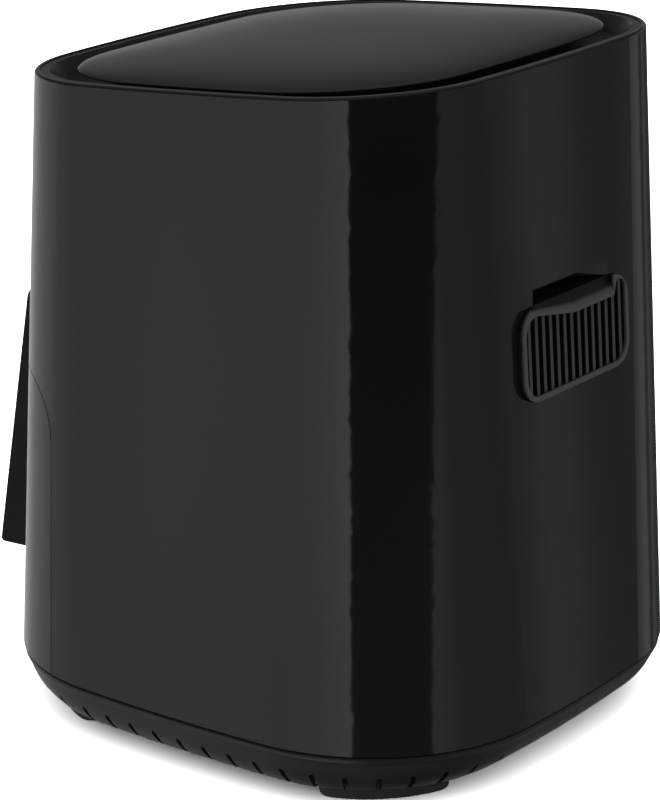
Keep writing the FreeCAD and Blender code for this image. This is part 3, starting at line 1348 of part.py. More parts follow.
clamps = []
for number, angle in enumerate((180, 270, 360)):
    x, y = mean * cosine(angle), FAN_AXIS_Y + mean * sine(angle)
    reach = turn_back + D.coil_wire / 2
    low = COIL_HEIGHT - D.coil_wire - D.clamp_gap - D.clamp_thickness
    along_x = angle % 180 == 0
    half_x, half_y = (reach, D.clamp_width / 2) if along_x else (D.clamp_width / 2, reach)
    clamps.append(fuse(f"Clamp{number}", [
        block(f"ClampFoot{number}", (x - half_x, y - half_y, low),
              (x + half_x, y + half_y, low + D.clamp_thickness)),
        rod(f"ClampPost{number}", D.clamp_post, (x, y, low), REFLECTOR_LOW - low)]))
piece(group("Clamps", clamps), "element_clamps")

axis = (0, FAN_AXIS_Y)
guard = [ring(f"GuardRing{number}", GUARD_RADIUS * share, D.guard_wire, (*axis, GUARD_HEIGHT))
         for number, share in enumerate((1, 0.66, 0.32))]
spoke_height = GUARD_HEIGHT - D.guard_wire
for number, (half_x, half_y) in enumerate(((GUARD_RADIUS, D.spoke_wire), (D.spoke_wire, GUARD_RADIUS))):
    guard.append(block(f"GuardSpoke{number}", (
        -half_x, FAN_AXIS_Y - half_y, spoke_height - D.spoke_wire), (
        half_x, FAN_AXIS_Y + half_y, spoke_height + D.spoke_wire)))
for number, angle in enumerate((0, 90, 180, 270)):
    guard.append(rod(f"GuardPost{number}", D.guard_post, (
        GUARD_RADIUS * cosine(angle), FAN_AXIS_Y + GUARD_RADIUS * sine(angle), GUARD_HEIGHT),
        REFLECTOR_LOW - GUARD_HEIGHT))
piece(fuse("Guard", guard), "heater_guard")

# ---------------------------------------------------------------------------
# Motor, shaft and fans
# ---------------------------------------------------------------------------

SHIELD_TOP = ROOF_TOP + D.shield_height
PLATE_LOW = SHIELD_TOP + D.motor_stand
MOTOR_LOW = PLATE_LOW + D.stand_plate
MOTOR_TOP = MOTOR_LOW + D.motor_height
SHAFT_LOW = FAN_PLATE_HEIGHT - D.blade_height - D.nut_height - 4

body = new_body("Shield")
tray = fan_sketch(body, ROOF_TOP)
rounded_rectangle(tray, -SHIELD_HALF, -SHIELD_HALF, SHIELD_HALF, SHIELD_HALF, D.shield_corner)
pad(body, tray, D.shield_height)
under = fan_sketch(body, ROOF_TOP)
inner_half = SHIELD_HALF - D.shield_wall
rounded_rectangle(
    under, -inner_half, -inner_half, inner_half, inner_half, D.shield_corner - D.shield_wall)
pocket(body, under, D.shield_height - D.shield_wall, flip=True)
holes = sketch_on(body, "XY_Plane", lift=SHIELD_TOP - 2)
roof_holes(holes, D.shaft_hole)
pocket(body, holes, 10, flip=True)
piece(body, "heat_shield")

body = new_body("Stand")
deck = fan_sketch(body, PLATE_LOW)
circle(deck, 0, 0, D.stand_radius)
pad(body, deck, D.stand_plate)
bore = fan_sketch(body, PLATE_LOW)
circle(bore, 0, 0, D.shaft_hole)
pocket(body, bore, 10, flip=True)
post = fan_sketch(body, SHIELD_TOP)
circle(post, D.stand_radius - D.stand_post_inset, 0, D.stand_post)
first = pad(body, post, D.motor_stand + D.stand_plate / 2)
ring_of(body, first, post, "N_Axis", 90, 4)
piece(body, "motor_bracket")

body = new_body("Motor")
turned = sketch_on(body, "XZ_Plane", lift=-FAN_AXIS_Y)
bearing = D.shaft_radius + D.shaft_play
rounded_polygon(turned, [
    (bearing, MOTOR_LOW, 0), (D.motor_radius, MOTOR_LOW, 2), (D.motor_radius, MOTOR_TOP - D.motor_dome, 2),
    (D.motor_radius * 0.6, MOTOR_TOP - D.motor_dome * 0.6, 3), (D.hub_radius + 2, MOTOR_TOP, 1.5),
    (bearing, MOTOR_TOP, 0)])
revolve(body, turned)
piece(body, "fan_motor")

piece(rod("Shaft", D.shaft_radius, (*axis, SHAFT_LOW), MOTOR_TOP + 3 - SHAFT_LOW), "motor_shaft")


def bladed_wheel(label, radius, disc_low, blade_low, blade_tall, hub_low, hub_tall, count):
    """A disc with radial blades and a hub bored for the shaft."""
    body = new_body("Wheel")
    disc = fan_sketch(body, disc_low)
    circle(disc, 0, 0, radius)
    pad(body, disc, D.fan_disc)
    hub = fan_sketch(body, hub_low)
    circle(hub, 0, 0, D.hub_radius)
    pad(body, hub, hub_tall)
    blade = fan_sketch(body, blade_low)
    root, tip = D.hub_radius * 1.75, radius - D.blade_thickness
    rounded_polygon(blade, [
        (root, 0, 0), (tip, D.blade_lean, 0), (tip - D.blade_thickness / 2, D.blade_lean + D.blade_thickness, 0),
        (root - D.blade_thickness / 2, D.blade_thickness, 0)])
    first = pad(body, blade, blade_tall)
    ring_of(body, first, blade, "N_Axis", 360 / count, count)
    bore = fan_sketch(body, hub_low - 5)
    circle(bore, 0, 0, D.shaft_radius + D.shaft_play)
    pocket(body, bore, hub_tall + 30, flip=True)
    piece(body, label)


disc_low = FAN_PLATE_HEIGHT - D.fan_disc
blade_low = FAN_PLATE_HEIGHT - D.blade_height
into_disc = D.fan_disc / 2
bladed_wheel("hot_air_fan", FAN_RADIUS, disc_low, blade_low, D.blade_height - into_disc, blade_low,
             D.blade_height, 12)
COOLER_LOW = SHIELD_TOP + D.cooler_gap
bladed_wheel("cooling_fan", D.cooler_radius, COOLER_LOW, COOLER_LOW + into_disc,
             D.cooler_height - D.fan_disc, COOLER_LOW, D.cooler_height, 9)

body = new_body("Nut")
hexagon = fan_sketch(body, blade_low - D.nut_height)
rounded_polygon(hexagon, [
    (D.nut_radius * cosine(60 * side), D.nut_radius * sine(60 * side), 0) for side in range(6)])
pad(body, hexagon, D.nut_height)
bore = fan_sketch(body, blade_low - D.nut_height - 1)
circle(bore, 0, 0, D.shaft_radius + D.shaft_play)
pocket(body, bore, D.nut_height + 2, flip=True)
piece(body, "fan_nut")

# ---------------------------------------------------------------------------
# Electronics
# ---------------------------------------------------------------------------

def leaning_board(label, gap, depth, low, high, half_width):
    """A block behind the fascia that leans with the housing's front."""
    body = new_body("Leaning")
    sketch = sketch_on(body, "YZ_Plane")
    face = [D.shell_wall + gap - body_section(height)[1] for height in (low, high)]
    rounded_polygon(sketch, [
        (face[0], low, 0), (face[0] + depth, low, 0), (face[1] + depth, high, 0), (face[1], high, 0)])
    pad(body, sketch, 2 * half_width, both=True)
    piece(body, label)


leaning_board("display_module", D.display_gap, D.display_depth,
              DISPLAY_BOTTOM, DISPLAY_TOP, D.display_half_width)
leaning_board("control_board", D.display_gap + D.display_depth, D.board_thickness,
              FASCIA_BOTTOM + 12, FASCIA_TOP - 8, D.board_half_width)

board_y = FAN_AXIS_Y - D.stand_radius - 4
board_low = SHIELD_TOP + D.power_stand
board_mid = board_y - D.power_depth / 2
board = [block("PowerBoard", (-D.power_half_width, board_y - D.power_depth, board_low),
               (D.power_half_width, board_y, board_low + D.board_thickness))]
stand_x, stand_y = D.power_half_width - D.standoff_inset, D.power_depth / 2 - D.standoff_inset
for number, (sx, sy) in enumerate(((-1, -1), (1, -1), (-1, 1), (1, 1))):
    board.append(rod(f"Standoff{number}", D.standoff_radius, (
        sx * stand_x, board_mid + sy * stand_y, SHIELD_TOP), D.power_stand + D.board_thickness / 2))
parts_low = board_low + D.board_thickness / 2
board.append(block("Transformer", (-34, board_mid - 9, parts_low),
                   (-12, board_mid + 11, parts_low + D.transformer_height)))
board.append(block("Relay", (-4, board_mid - 7, parts_low), (12, board_mid + 7, parts_low + D.relay_height)))
for number, x in enumerate((20, 31)):
    board.append(rod(f"Capacitor{number}", D.capacitor_radius, (x, board_mid, parts_low), D.capacitor_height))
piece(fuse("PowerUnit", board), "power_board")

cutoff_x, tab_y = SHIELD_HALF - D.cutoff_inset, D.cutoff_radius / 2
piece(fuse("Cutoff", [
    rod("CutoffBody", D.cutoff_radius, (cutoff_x, FAN_AXIS_Y, SHIELD_TOP), D.cutoff_height),
    block("CutoffTab", (cutoff_x - D.cutoff_tab, FAN_AXIS_Y - tab_y, SHIELD_TOP),
          (cutoff_x + D.cutoff_tab, FAN_AXIS_Y + tab_y, SHIELD_TOP + 1))]), "thermal_cutoff")
piece(fuse("Sensor", [
    rod("Probe", D.sensor_radius, (SENSOR_X, SENSOR_Y, D.chamber_roof - D.sensor_reach),
        D.sensor_reach + D.sensor_flange),
    rod("SensorFlange", D.sensor_flange, (SENSOR_X, SENSOR_Y, ROOF_TOP), D.sensor_flange_height)]),
    "temperature_sensor")

# ---------------------------------------------------------------------------
# Basket and crisper plate
# ---------------------------------------------------------------------------

BASKET_FRONT = LINER_REAR + D.basket_seat + D.basket_flange
FLANGE_FRONT = LINER_REAR + D.basket_seat
BASKET_DEEP = D.basket_top - D.basket_bottom
DRAFT_ANGLE = Size(
    math.degrees(math.atan(D.basket_draft.value / BASKET_DEEP.value)),
    f"atan({D.basket_draft.text} / {BASKET_DEEP.text}) / 1 deg")


def basket_outline(sketch, inset):
    """Plan of the basket's wall under its rim, moved in by an inset."""
    half = BASKET_HALF_WIDTH - inset
    rounded_rectangle(sketch, -half, BASKET_FRONT + inset, half, BASKET_REAR_Y - inset, D.basket_corner - inset)


def basket_inset(height):
    """How far the drafted wall has come in at a height."""
    return D.basket_draft * (D.basket_top - height) / BASKET_DEEP


def drafted_tub(name, inset, low, floor_round):
    """A solid with the basket's drafted walls and rounded floor edge, moved in by an inset."""
    tub = new_body(name)
    top = sketch_on(tub, "XY_Plane", lift=D.basket_top)
    basket_outline(top, inset)
    sides = pad(tub, top, D.basket_top - low, flip=True)
    bind(sides, "TaperAngle", -DRAFT_ANGLE * DEGREE)
    round_edges(tub, floor_round, lambda edge: edge.BoundBox.ZMax < low.value + 0.01)
    return tub


hollow = drafted_tub("Hollow", D.basket_wall, D.basket_bottom + D.basket_wall, D.basket_floor_round)
body = drafted_tub("Tub", 0, D.basket_bottom, D.basket_floor_round + D.basket_wall)
flange = sketch_on(body, "XY_Plane", lift=FLANGE_LOW)
basket_outline(flange, -D.basket_flange)
pad(body, flange, D.basket_wall)
piece(cut("Basket", body, [hollow]), "basket")

body = new_body("BasketBracket")
sketch = sketch_on(body, "YZ_Plane")
hook_low, hook_high = D.basket_top - D.hook_drop, FLANGE_LOW - D.hook_gap
rounded_polygon(sketch, [
    (FLANGE_FRONT, hook_low, 0), (BASKET_FRONT + basket_inset(hook_low) - D.hook_gap, hook_low, 0),
    (BASKET_FRONT + basket_inset(hook_high) - D.hook_gap, hook_high, 0), (FLANGE_FRONT, hook_high, 0)])
pad(body, sketch, D.hook_width, both=True)
piece(body, "basket_bracket")

plate_inset = basket_inset(D.plate_height) + D.basket_wall + D.plate_gap
PLATE_Y = (BASKET_FRONT + BASKET_REAR_Y) / 2
body = new_body("Crisper")
sketch = sketch_on(body, "XY_Plane", lift=D.plate_height)
basket_outline(sketch, plate_inset)
pad(body, sketch, D.plate_thickness)
HOLES = 7
span = D.plate_hole_pitch * (HOLES - 1) / 2
punch = sketch_on(body, "XY_Plane", lift=D.plate_height - 1, shift=(-span, PLATE_Y - span))
circle(punch, 0, 0, D.plate_hole)
first = pocket(body, punch, D.plate_thickness + 2, flip=True)
grid = row_of(body, first, punch, "H_Axis", D.plate_hole_pitch, HOLES)
grid.Direction2 = (punch, ["V_Axis"])
grid.Mode2 = "Spacing"
bind(grid, "Offset2", D.plate_hole_pitch * MM)
grid.Occurrences2 = HOLES
finger = sketch_on(body, "XY_Plane", lift=D.plate_height - 1, shift=(0, PLATE_Y))
circle(finger, 0, 0, D.finger_hole)
pocket(body, finger, D.plate_thickness + 2, flip=True)
piece(body, "crisper_plate")

stand_x = BASKET_HALF_WIDTH - plate_inset - D.bumper_inset
stand_y = (BASKET_REAR_Y - BASKET_FRONT) / 2 - plate_inset - D.bumper_inset
stand_low = D.basket_bottom + D.basket_wall + D.bumper_gap
piece(group("Bumpers", [
    rod(f"Bumper{number}", D.bumper_radius, (sx * stand_x, PLATE_Y + sy * stand_y, stand_low),
        D.plate_height - stand_low)
    for number, (sx, sy) in enumerate(((1, 1), (-1, 1), (-1, -1), (1, -1)))]), "plate_feet")

# ---------------------------------------------------------------------------
# Check and export
# ---------------------------------------------------------------------------


def check_document():
    """Stop if any object failed or any sub-part has no valid solid."""
    for item in DOC.Objects:
        faults = [state for state in item.State if state in ("Invalid", "Error")]
        if faults:
            raise RuntimeError(f"{item.Name} ({item.Label}) is {', '.join(faults)}")
    for item in PIECES:
        if item.Shape.isNull() or not item.Shape.isValid() or not item.Shape.Solids:
            raise RuntimeError(f"{item.Label} has no valid solid")


def export_parts():
    """Write every sub-part to its own STEP file."""
    os.makedirs("parts", exist_ok=True)
    for item in PIECES:
        item.Shape.exportStep(f"parts/{item.Label}.step")


DOC.recompute()
check_document()
export_parts()
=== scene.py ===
"""Finishes, small trim and studio for a square single-drawer air fryer."""

import math

import bmesh
import bpy
from bpy.props import FloatProperty, FloatVectorProperty, PointerProperty
from mathutils import Matrix, Vector


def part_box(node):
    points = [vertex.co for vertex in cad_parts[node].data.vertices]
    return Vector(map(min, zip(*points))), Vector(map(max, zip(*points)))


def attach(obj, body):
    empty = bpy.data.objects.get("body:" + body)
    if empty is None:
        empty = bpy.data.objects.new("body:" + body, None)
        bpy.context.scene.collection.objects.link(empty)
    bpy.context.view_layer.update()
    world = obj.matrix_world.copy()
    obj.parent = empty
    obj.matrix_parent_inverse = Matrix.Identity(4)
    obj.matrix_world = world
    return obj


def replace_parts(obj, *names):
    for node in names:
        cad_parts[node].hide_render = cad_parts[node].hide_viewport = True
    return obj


bl_info = {
    "name": "Air Fryer",
    "version": (1, 0, 0),
    "blender": (4, 5, 0),
    "location": "View3D > Sidebar > Air Fryer",
    "description": "Finishes a single-drawer air fryer and sets it in a studio",
    "category": "Add Mesh",
}

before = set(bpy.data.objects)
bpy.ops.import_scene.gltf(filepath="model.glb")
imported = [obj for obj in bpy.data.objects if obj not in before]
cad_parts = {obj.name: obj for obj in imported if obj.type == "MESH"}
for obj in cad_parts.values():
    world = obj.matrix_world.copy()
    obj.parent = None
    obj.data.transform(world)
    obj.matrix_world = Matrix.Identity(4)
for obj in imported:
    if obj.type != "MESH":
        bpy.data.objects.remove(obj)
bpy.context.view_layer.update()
MM = 0.001

# Edges that turn more than this are shaded sharp
SHARP_ANGLE = math.radians(32)
# How far the rear wall leans in for each metre of height
WALL_LEAN = 0.065

# Plan radius of the air fryer's shallow flanks
FLANK_BOW = 950 * MM
# Edges in each flank and in each corner of a crowned loop
FLANK_STEPS = 12
CORNER_STEPS = 20
# Plan radius of the lid's corners, height of its square edge, and the plinth under it
LID_CORNER = 70 * MM
LID_EDGE = 0.7 * MM
PLINTH_INSET = 14 * MM
PLINTH_DEPTH = 8 * MM

# Share of the skirt's turning in that runs straight; the rest grows towards its foot
TUCK_LINE = 0.4
# Insets of the inner wall that stands behind the skirt's slots
BAFFLE_FRONT = 5.0 * MM
BAFFLE_BACK = 6.5 * MM
# A slot's cut starts this far inside the skirt's lower edge, runs this far out and
# ends this far below the edge
SLOT_FOOT = 3.6 * MM
SLOT_REACH = 24 * MM
SLOT_DROP = 3 * MM
# Each flank has this many slots each side of its middle one, which stands off centre
FLANK_SLOTS = 4
FLANK_SHIFT = 1.6 * MM
# Turns of a corner's slots, counted from the flank
CORNER_SLOTS = [math.radians(17.4 + 11.45 * step) for step in range(7)]
# Signs of the four corners, anticlockwise
CORNERS = ((1, 1), (-1, 1), (-1, -1), (1, -1))

# Radii of the screw heads, and the width and depth of their cross recesses' bars
BASE_SCREW = 3.6 * MM
HANDLE_SCREW = 3.8 * MM
RECESS_SHARE = 0.26
RECESS_DEPTH = 0.3 * MM
# How far a rivet's foot is sunk in the bracket
RIVET_SINK = 0.2 * MM
# Fineness of a spark-eroded mould's grain
GRAIN = 2600.0

# What the gloss reflects of the studio: level against compass angle, in degrees
# anticlockwise from +X
SURROUND = (
    (-180, 0.16), (-171, 0.06), (-166, 0.05), (-150, 0.08), (-138, 0.3), (-134, 0.55),
    (-112, 0.57), (-106, 0.5), (-78, 0.54), (-71, 0.48), (-51, 0.52), (-45, 0.57), (-39, 0.66),
    (-21, 0.68), (-9, 0.72), (3, 0.77), (15, 0.89), (26, 1.02), (90, 0.27), (128, 0.165),
    (139.6, 0.18), (142.4, 0.29), (145, 0.24), (148, 0.15), (152.5, 0.105), (155, 0.17),
    (160, 0.29), (165, 0.32), (169, 0.28), (173, 0.08), (177, 0.1), (180, 0.16))
# Overhead: level against height in degrees above the horizon
CEILING = (
    (0, 0.3), (3, 0.26), (4.5, 0.15), (7, 0.145), (9, 0.11), (13, 0.08), (25, 0.08),
    (45, 0.22), (90, 0.3))
# Underneath: mean level, how much lighter it is on its light side, and that side's angle
GROUND = 0.25
GROUND_SWING = 0.15
GROUND_SIDE = -20
# The dark screen: compass angles of its near and far edges, and the height angle below
# which the far edge stands upright
SCREEN_NEAR = 26
SCREEN_FAR = 71.4
SCREEN_FOOT = -19.3
# The soft lamp: edge, place and the point that it faces
LAMP_SIZE = 1.6
LAMP_PLACE = (0.4, 0.5, 1.9)
LAMP_AIM = (0.0, 0.0, 0.1)


# Shader expressions ----------------------------------------------------------


class Shade:
    """One output of a shader node. Arithmetic on it adds Math nodes."""

    def __init__(self, board, socket):
        self.board = board
        self.socket = socket

    def math(self, operation, *others):
        return self.board.add("ShaderNodeMath", {"operation": operation}, [self, *others])

    def _from(self, operation, first):
        return self.board.add("ShaderNodeMath", {"operation": operation}, [first, self])

    def __add__(self, other):
        return self.math("ADD", other)

    __radd__ = __add__

    def __sub__(self, other):
        return self.math("SUBTRACT", other)

    def __rsub__(self, other):
        return self._from("SUBTRACT", other)

    def __mul__(self, other):
        return self.math("MULTIPLY", other)

    __rmul__ = __mul__

    def __truediv__(self, other):
        return self.math("DIVIDE", other)

    def __rtruediv__(self, other):
        return self._from("DIVIDE", other)

    def size(self):
        return self.math("ABSOLUTE")

    def rise(self, low, high):
        """0 below low, 1 above high and a smooth step between them."""
        settings = {"interpolation_type": "SMOOTHSTEP"}
        return self.board.add("ShaderNodeMapRange", settings, [self, low, high, 0.0, 1.0])


class Board:
    """The node tree of a finish or of the studio's surroundings."""

    def __init__(self, tree):
        self.tree = tree
        tree.nodes.clear()

    def add(self, kind, settings=None, sockets=None, output=0):
        """Add a node, set its options, then fill its sockets by place or by name."""
        node = self.tree.nodes.new(kind)
        for name, value in (settings or {}).items():
            if name == "stops":
                self.set_stops(node.color_ramp, value)
            else:
                setattr(node, name, value)
        if isinstance(sockets, (list, tuple)):
            sockets = dict(enumerate(sockets))
        for key, value in (sockets or {}).items():
            if isinstance(value, Shade):
                self.tree.links.new(value.socket, node.inputs[key])
            elif value is not None:
                node.inputs[key].default_value = value
        return Shade(self, node.outputs[output]) if node.outputs else node

    @staticmethod
    def set_stops(ramp, stops):
        while len(ramp.elements) < len(stops):
            ramp.elements.new(1.0)
        for element, (place, level) in zip(ramp.elements, stops):
            element.position = place
            element.color = (level, level, level, 1.0)

    def split(self, vector):
        """The three parts of a vector."""
        node = self.add("ShaderNodeSeparateXYZ", None, [vector]).socket.node
        return [Shade(self, out) for out in node.outputs]

    def place(self):
        """Where a point lies in the piece's own frame, in metres."""
        return self.add("ShaderNodeTexCoord", output="Object")

    def stretched(self, scale):
        """Object coordinates scaled apart along each axis."""
        return self.add("ShaderNodeMapping", None, {"Vector": self.place(), "Scale": scale})

    def noise(self, scale, detail=2.0, where=None, rough=0.5):
        sockets = {"Vector": where or self.place(), "Scale": scale, "Detail": detail,
                   "Roughness": rough}
        return self.add("ShaderNodeTexNoise", None, sockets)

    def cells(self, scale, output="Color"):
        sockets = {"Vector": self.place(), "Scale": scale}
        return self.add("ShaderNodeTexVoronoi", None, sockets, output)

    def mix(self, factor, first, second):
        """Blend two colours."""
        sockets = {0: factor, 6: first, 7: second}
        return self.add("ShaderNodeMix", {"data_type": "RGBA"}, sockets, output=2)

    def ramp(self, value, stops):
        """A level that follows a value along straight runs."""
        return self.add("ShaderNodeValToRGB", {"stops": stops}, [value])

    def bump(self, height, depth, strength):
        sockets = {"Strength": strength, "Distance": depth, "Height": height}
        return self.add("ShaderNodeBump", None, sockets)


def rgba(colour, share=1.0):
    """A colour with its strength changed by a share."""
    return (*(min(1.0, part * share) for part in colour[:3]), 1.0)


class Finish(Board):
    """A material with one Principled surface."""

    def __init__(self, name):
        self.material = bpy.data.materials.new(name)
        self.material.use_nodes = True
        super().__init__(self.material.node_tree)

    def surface(self, colour, roughness, normal=None, metallic=0.0, shine=0.5):
        sockets = {"Base Color": colour, "Roughness": roughness, "Normal": normal,
                   "Metallic": metallic, "Specular IOR Level": shine}
        body = self.add("ShaderNodeBsdfPrincipled", None, sockets)
        self.add("ShaderNodeOutputMaterial", None, {"Surface": body})
        return self.material


# Finishes --------------------------------------------------------------------


def glossy_moulding(name, colour, roughness):
    """Polished black plastic with a little haze and fine dust."""
    f = Finish(name)
    haze = f.noise(9.0, 3.0).rise(0.35, 0.7)
    dust = f.noise(900.0, 2.0).rise(0.62, 0.8)
    tone = f.mix(haze, rgba(colour), rgba(colour, 1.12))
    return f.surface(tone, haze * 0.015 + dust * 0.03 + roughness)


def satin_moulding(name, colour, roughness, depth=0.03 * MM, shine=0.5):
    """Plastic from a spark-eroded mould."""
    f = Finish(name)
    fine = f.noise(GRAIN, 3.0, rough=0.6)
    patch = f.noise(35.0, 3.0).rise(0.3, 0.75)
    tone = f.mix(fine.rise(0.3, 0.75), rgba(colour, 0.8), rgba(colour, 1.25))
    rough = patch * 0.05 + fine * 0.08 + roughness
    return f.surface(tone, rough, f.bump(fine, depth, 0.5), shine=shine)


def grille_moulding(name, colour, low, high):
    """Satin bars and frame, with painted shade that darkens the faces set back from the front."""
    f = Finish(name)
    _, y, z = f.split(f.place())
    front = high.y - (z - low.z) * WALL_LEAN
    # Painted shade: faces 0.5 to 1.7 mm back from the leaning front fade to 4 % of the colour
    painted_recess_shade = (front - y).rise(0.5 * MM, 1.7 * MM)
    fine = f.noise(GRAIN, 3.0, rough=0.6)
    tone = f.mix(fine.rise(0.3, 0.75), rgba(colour, 0.85), rgba(colour, 1.15))
    tone = f.mix(painted_recess_shade, tone, rgba(colour, 0.04))
    return f.surface(tone, fine * 0.08 + 0.3, f.bump(fine, 0.02 * MM, 0.5))


def soft_rubber(name, colour):
    """Dull rubber with a dusty bloom."""
    f = Finish(name)
    bloom = f.noise(140.0, 4.0).rise(0.4, 0.8)
    pores = f.cells(1600.0, output="Distance")
    tone = f.mix(bloom, rgba(colour), rgba(colour, 1.6))
    return f.surface(tone, bloom * 0.12 + 0.68, f.bump(pores, 0.03 * MM, 0.5))


def nonstick_coating(name, colour):
    """Dark baked coating with a fine mineral speckle."""
    f = Finish(name)
    fleck = f.noise(1900.0, 1.0).rise(0.66, 0.72)
    pale = f.noise(1100.0, 1.0).rise(0.72, 0.76)
    tone = f.mix(fleck, rgba(colour), rgba(colour, 2.6))
    tone = f.mix(pale, tone, rgba(colour, 6.0))
    spray = f.noise(420.0, 2.0)
    return f.surface(tone, spray * 0.12 + 0.3, f.bump(spray, 0.06 * MM, 0.35))


def galvanised_sheet(name, colour):
    """Zinc or aluminium coated sheet with faint crystal spangle and rolling marks."""
    f = Finish(name)
    crystal = f.split(f.cells(90.0))[0]
    rolled = f.noise(1.0, 2.0, f.stretched((900.0, 60.0, 900.0)))
    tone = f.mix(crystal * 0.5 + rolled * 0.3, rgba(colour, 0.82), rgba(colour))
    rough = crystal * 0.1 + rolled * 0.08 + 0.28
    return f.surface(tone, rough, f.bump(rolled, 0.01 * MM, 0.4), 1.0)


def turned_metal(name, colour, roughness, along=(60.0, 60.0, 2400.0), stain=None):
    """Drawn or turned metal, with fine lines round or along it and perhaps a stain."""
    f = Finish(name)
    lines = f.noise(1.0, 2.0, f.stretched(along))
    tone = f.mix(lines, rgba(colour, 0.85), rgba(colour))
    if stain:
        tone = f.mix(f.noise(70.0, 4.0).rise(0.45, 0.7), tone, rgba(stain))
    return f.surface(tone, lines * 0.12 + roughness, f.bump(lines, 0.01 * MM, 0.4), 1.0)


def circuit_board(name, colour):
    """Solder mask with tracks and bright pads under it."""
    f = Finish(name)
    x, y, z = f.split(f.place())
    across = (x * 900.0 + y * 40.0).math("SINE").rise(0.55, 0.75)
    along = ((y + z) * 700.0).math("SINE").rise(0.6, 0.8)
    choice = f.noise(110.0, 0.0).rise(0.48, 0.5)
    track = across * choice + along * (1.0 - choice)
    pads = 1.0 - f.cells(260.0, output="Distance").rise(0.12, 0.18)
    tone = f.mix(track, rgba(colour), rgba(colour, 1.7))
    tone = f.mix(pads, tone, (0.62, 0.6, 0.52, 1.0))
    return f.surface(tone, 0.42 - pads * 0.12, f.bump(track, 0.03 * MM, 0.4), pads)


def glazed_ceramic(name, colour):
    """Pale ceramic with a little clay showing through its glaze."""
    f = Finish(name)
    clay = f.noise(600.0, 4.0)
    tone = f.mix(clay, rgba(colour, 0.9), rgba(colour))
    return f.surface(tone, clay * 0.2 + 0.45, f.bump(clay, 0.03 * MM, 0.4))


def touch_panel(name, colour, low, high):
    """Black glass-like panel with a smoked window for the display."""
    f = Finish(name)
    x, _, z = f.split(f.place())
    half = (high.x - low.x) / 2
    middle = (low.z + high.z) / 2
    tall = (high.z - low.z) / 2
    within_width = 1.0 - x.size().rise(half - 0.6 * MM, half)
    within_height = 1.0 - (z - middle).size().rise(tall - 0.6 * MM, tall)
    inside = within_width * within_height
    haze = f.noise(12.0, 2.0)
    tone = f.mix(inside, rgba(colour), rgba(colour, 2.4))
    return f.surface(tone, haze * 0.02 + 0.04, f.bump(haze, 0.01 * MM, 0.1))


def dress(material, *nodes):
    """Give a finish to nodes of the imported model."""
    for name in nodes:
        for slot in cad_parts[name].material_slots:
            slot.material = material


# Mesh helpers ----------------------------------------------------------------


def finish_mesh(name, mesh_data, material, body):
    """Turn a bmesh into a smooth, closed piece that rides on a body."""
    bmesh.ops.remove_doubles(mesh_data, verts=mesh_data.verts, dist=1e-6)
    bmesh.ops.recalc_face_normals(mesh_data, faces=mesh_data.faces)
    for face in mesh_data.faces:
        face.smooth = True
    for edge in mesh_data.edges:
        edge.smooth = edge.calc_face_angle(0.0) < SHARP_ANGLE
    mesh = bpy.data.meshes.new(name)
    mesh_data.to_mesh(mesh)
    mesh_data.free()
    mesh.materials.append(material)
    piece = bpy.data.objects.new(name, mesh)
    bpy.context.scene.collection.objects.link(piece)
    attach(piece, body)
    return piece


def turned_head(mesh_data, radius, rise):
    """A low domed head turned about +Z."""
    profile = ((0.0, 0.0), (1.0, 0.0), (1.0, 0.35), (0.86, 0.72), (0.5, 0.95), (0.0, 1.0))
    chain = [mesh_data.verts.new((radius * out, 0.0, rise * up)) for out, up in profile]
    edges = [mesh_data.edges.new(pair) for pair in zip(chain, chain[1:])]
    bmesh.ops.spin(
        mesh_data, geom=chain + edges, axis=(0, 0, 1), cent=(0, 0, 0),
        angle=math.tau, steps=28, use_merge=True)
    bmesh.ops.remove_doubles(mesh_data, verts=mesh_data.verts, dist=1e-7)


def cross_bar(mesh_data, place, length, width, depth):
    """Two crossing bars with softened edges, placed by a matrix."""
    for turn in (0.0, math.pi / 2):
        made = bmesh.ops.create_cube(mesh_data, size=1.0)
        size = Matrix.Diagonal((length, width, depth, 1.0))
        shape = place @ Matrix.Rotation(turn, 4, "Z") @ size
        bmesh.ops.transform(mesh_data, matrix=shape, verts=made["verts"])
        edges = list({edge for vert in made["verts"] for edge in vert.link_edges})
        bmesh.ops.bevel(
            mesh_data, geom=edges, offset=width * 0.15, segments=2, profile=0.5,
            affect="EDGES", material=-1)


def spun_arc(mesh_data, centre, radius, start, sweep, steps, height):
    """A vertex spun about an upright axis into a chain of edges."""
    x, y = centre
    first = mesh_data.verts.new((
        x + radius * math.cos(start), y + radius * math.sin(start), height))
    bmesh.ops.spin(
        mesh_data, geom=[first], axis=(0, 0, 1), cent=(x, y, height),
        angle=sweep, steps=steps, use_merge=False, use_duplicate=False)


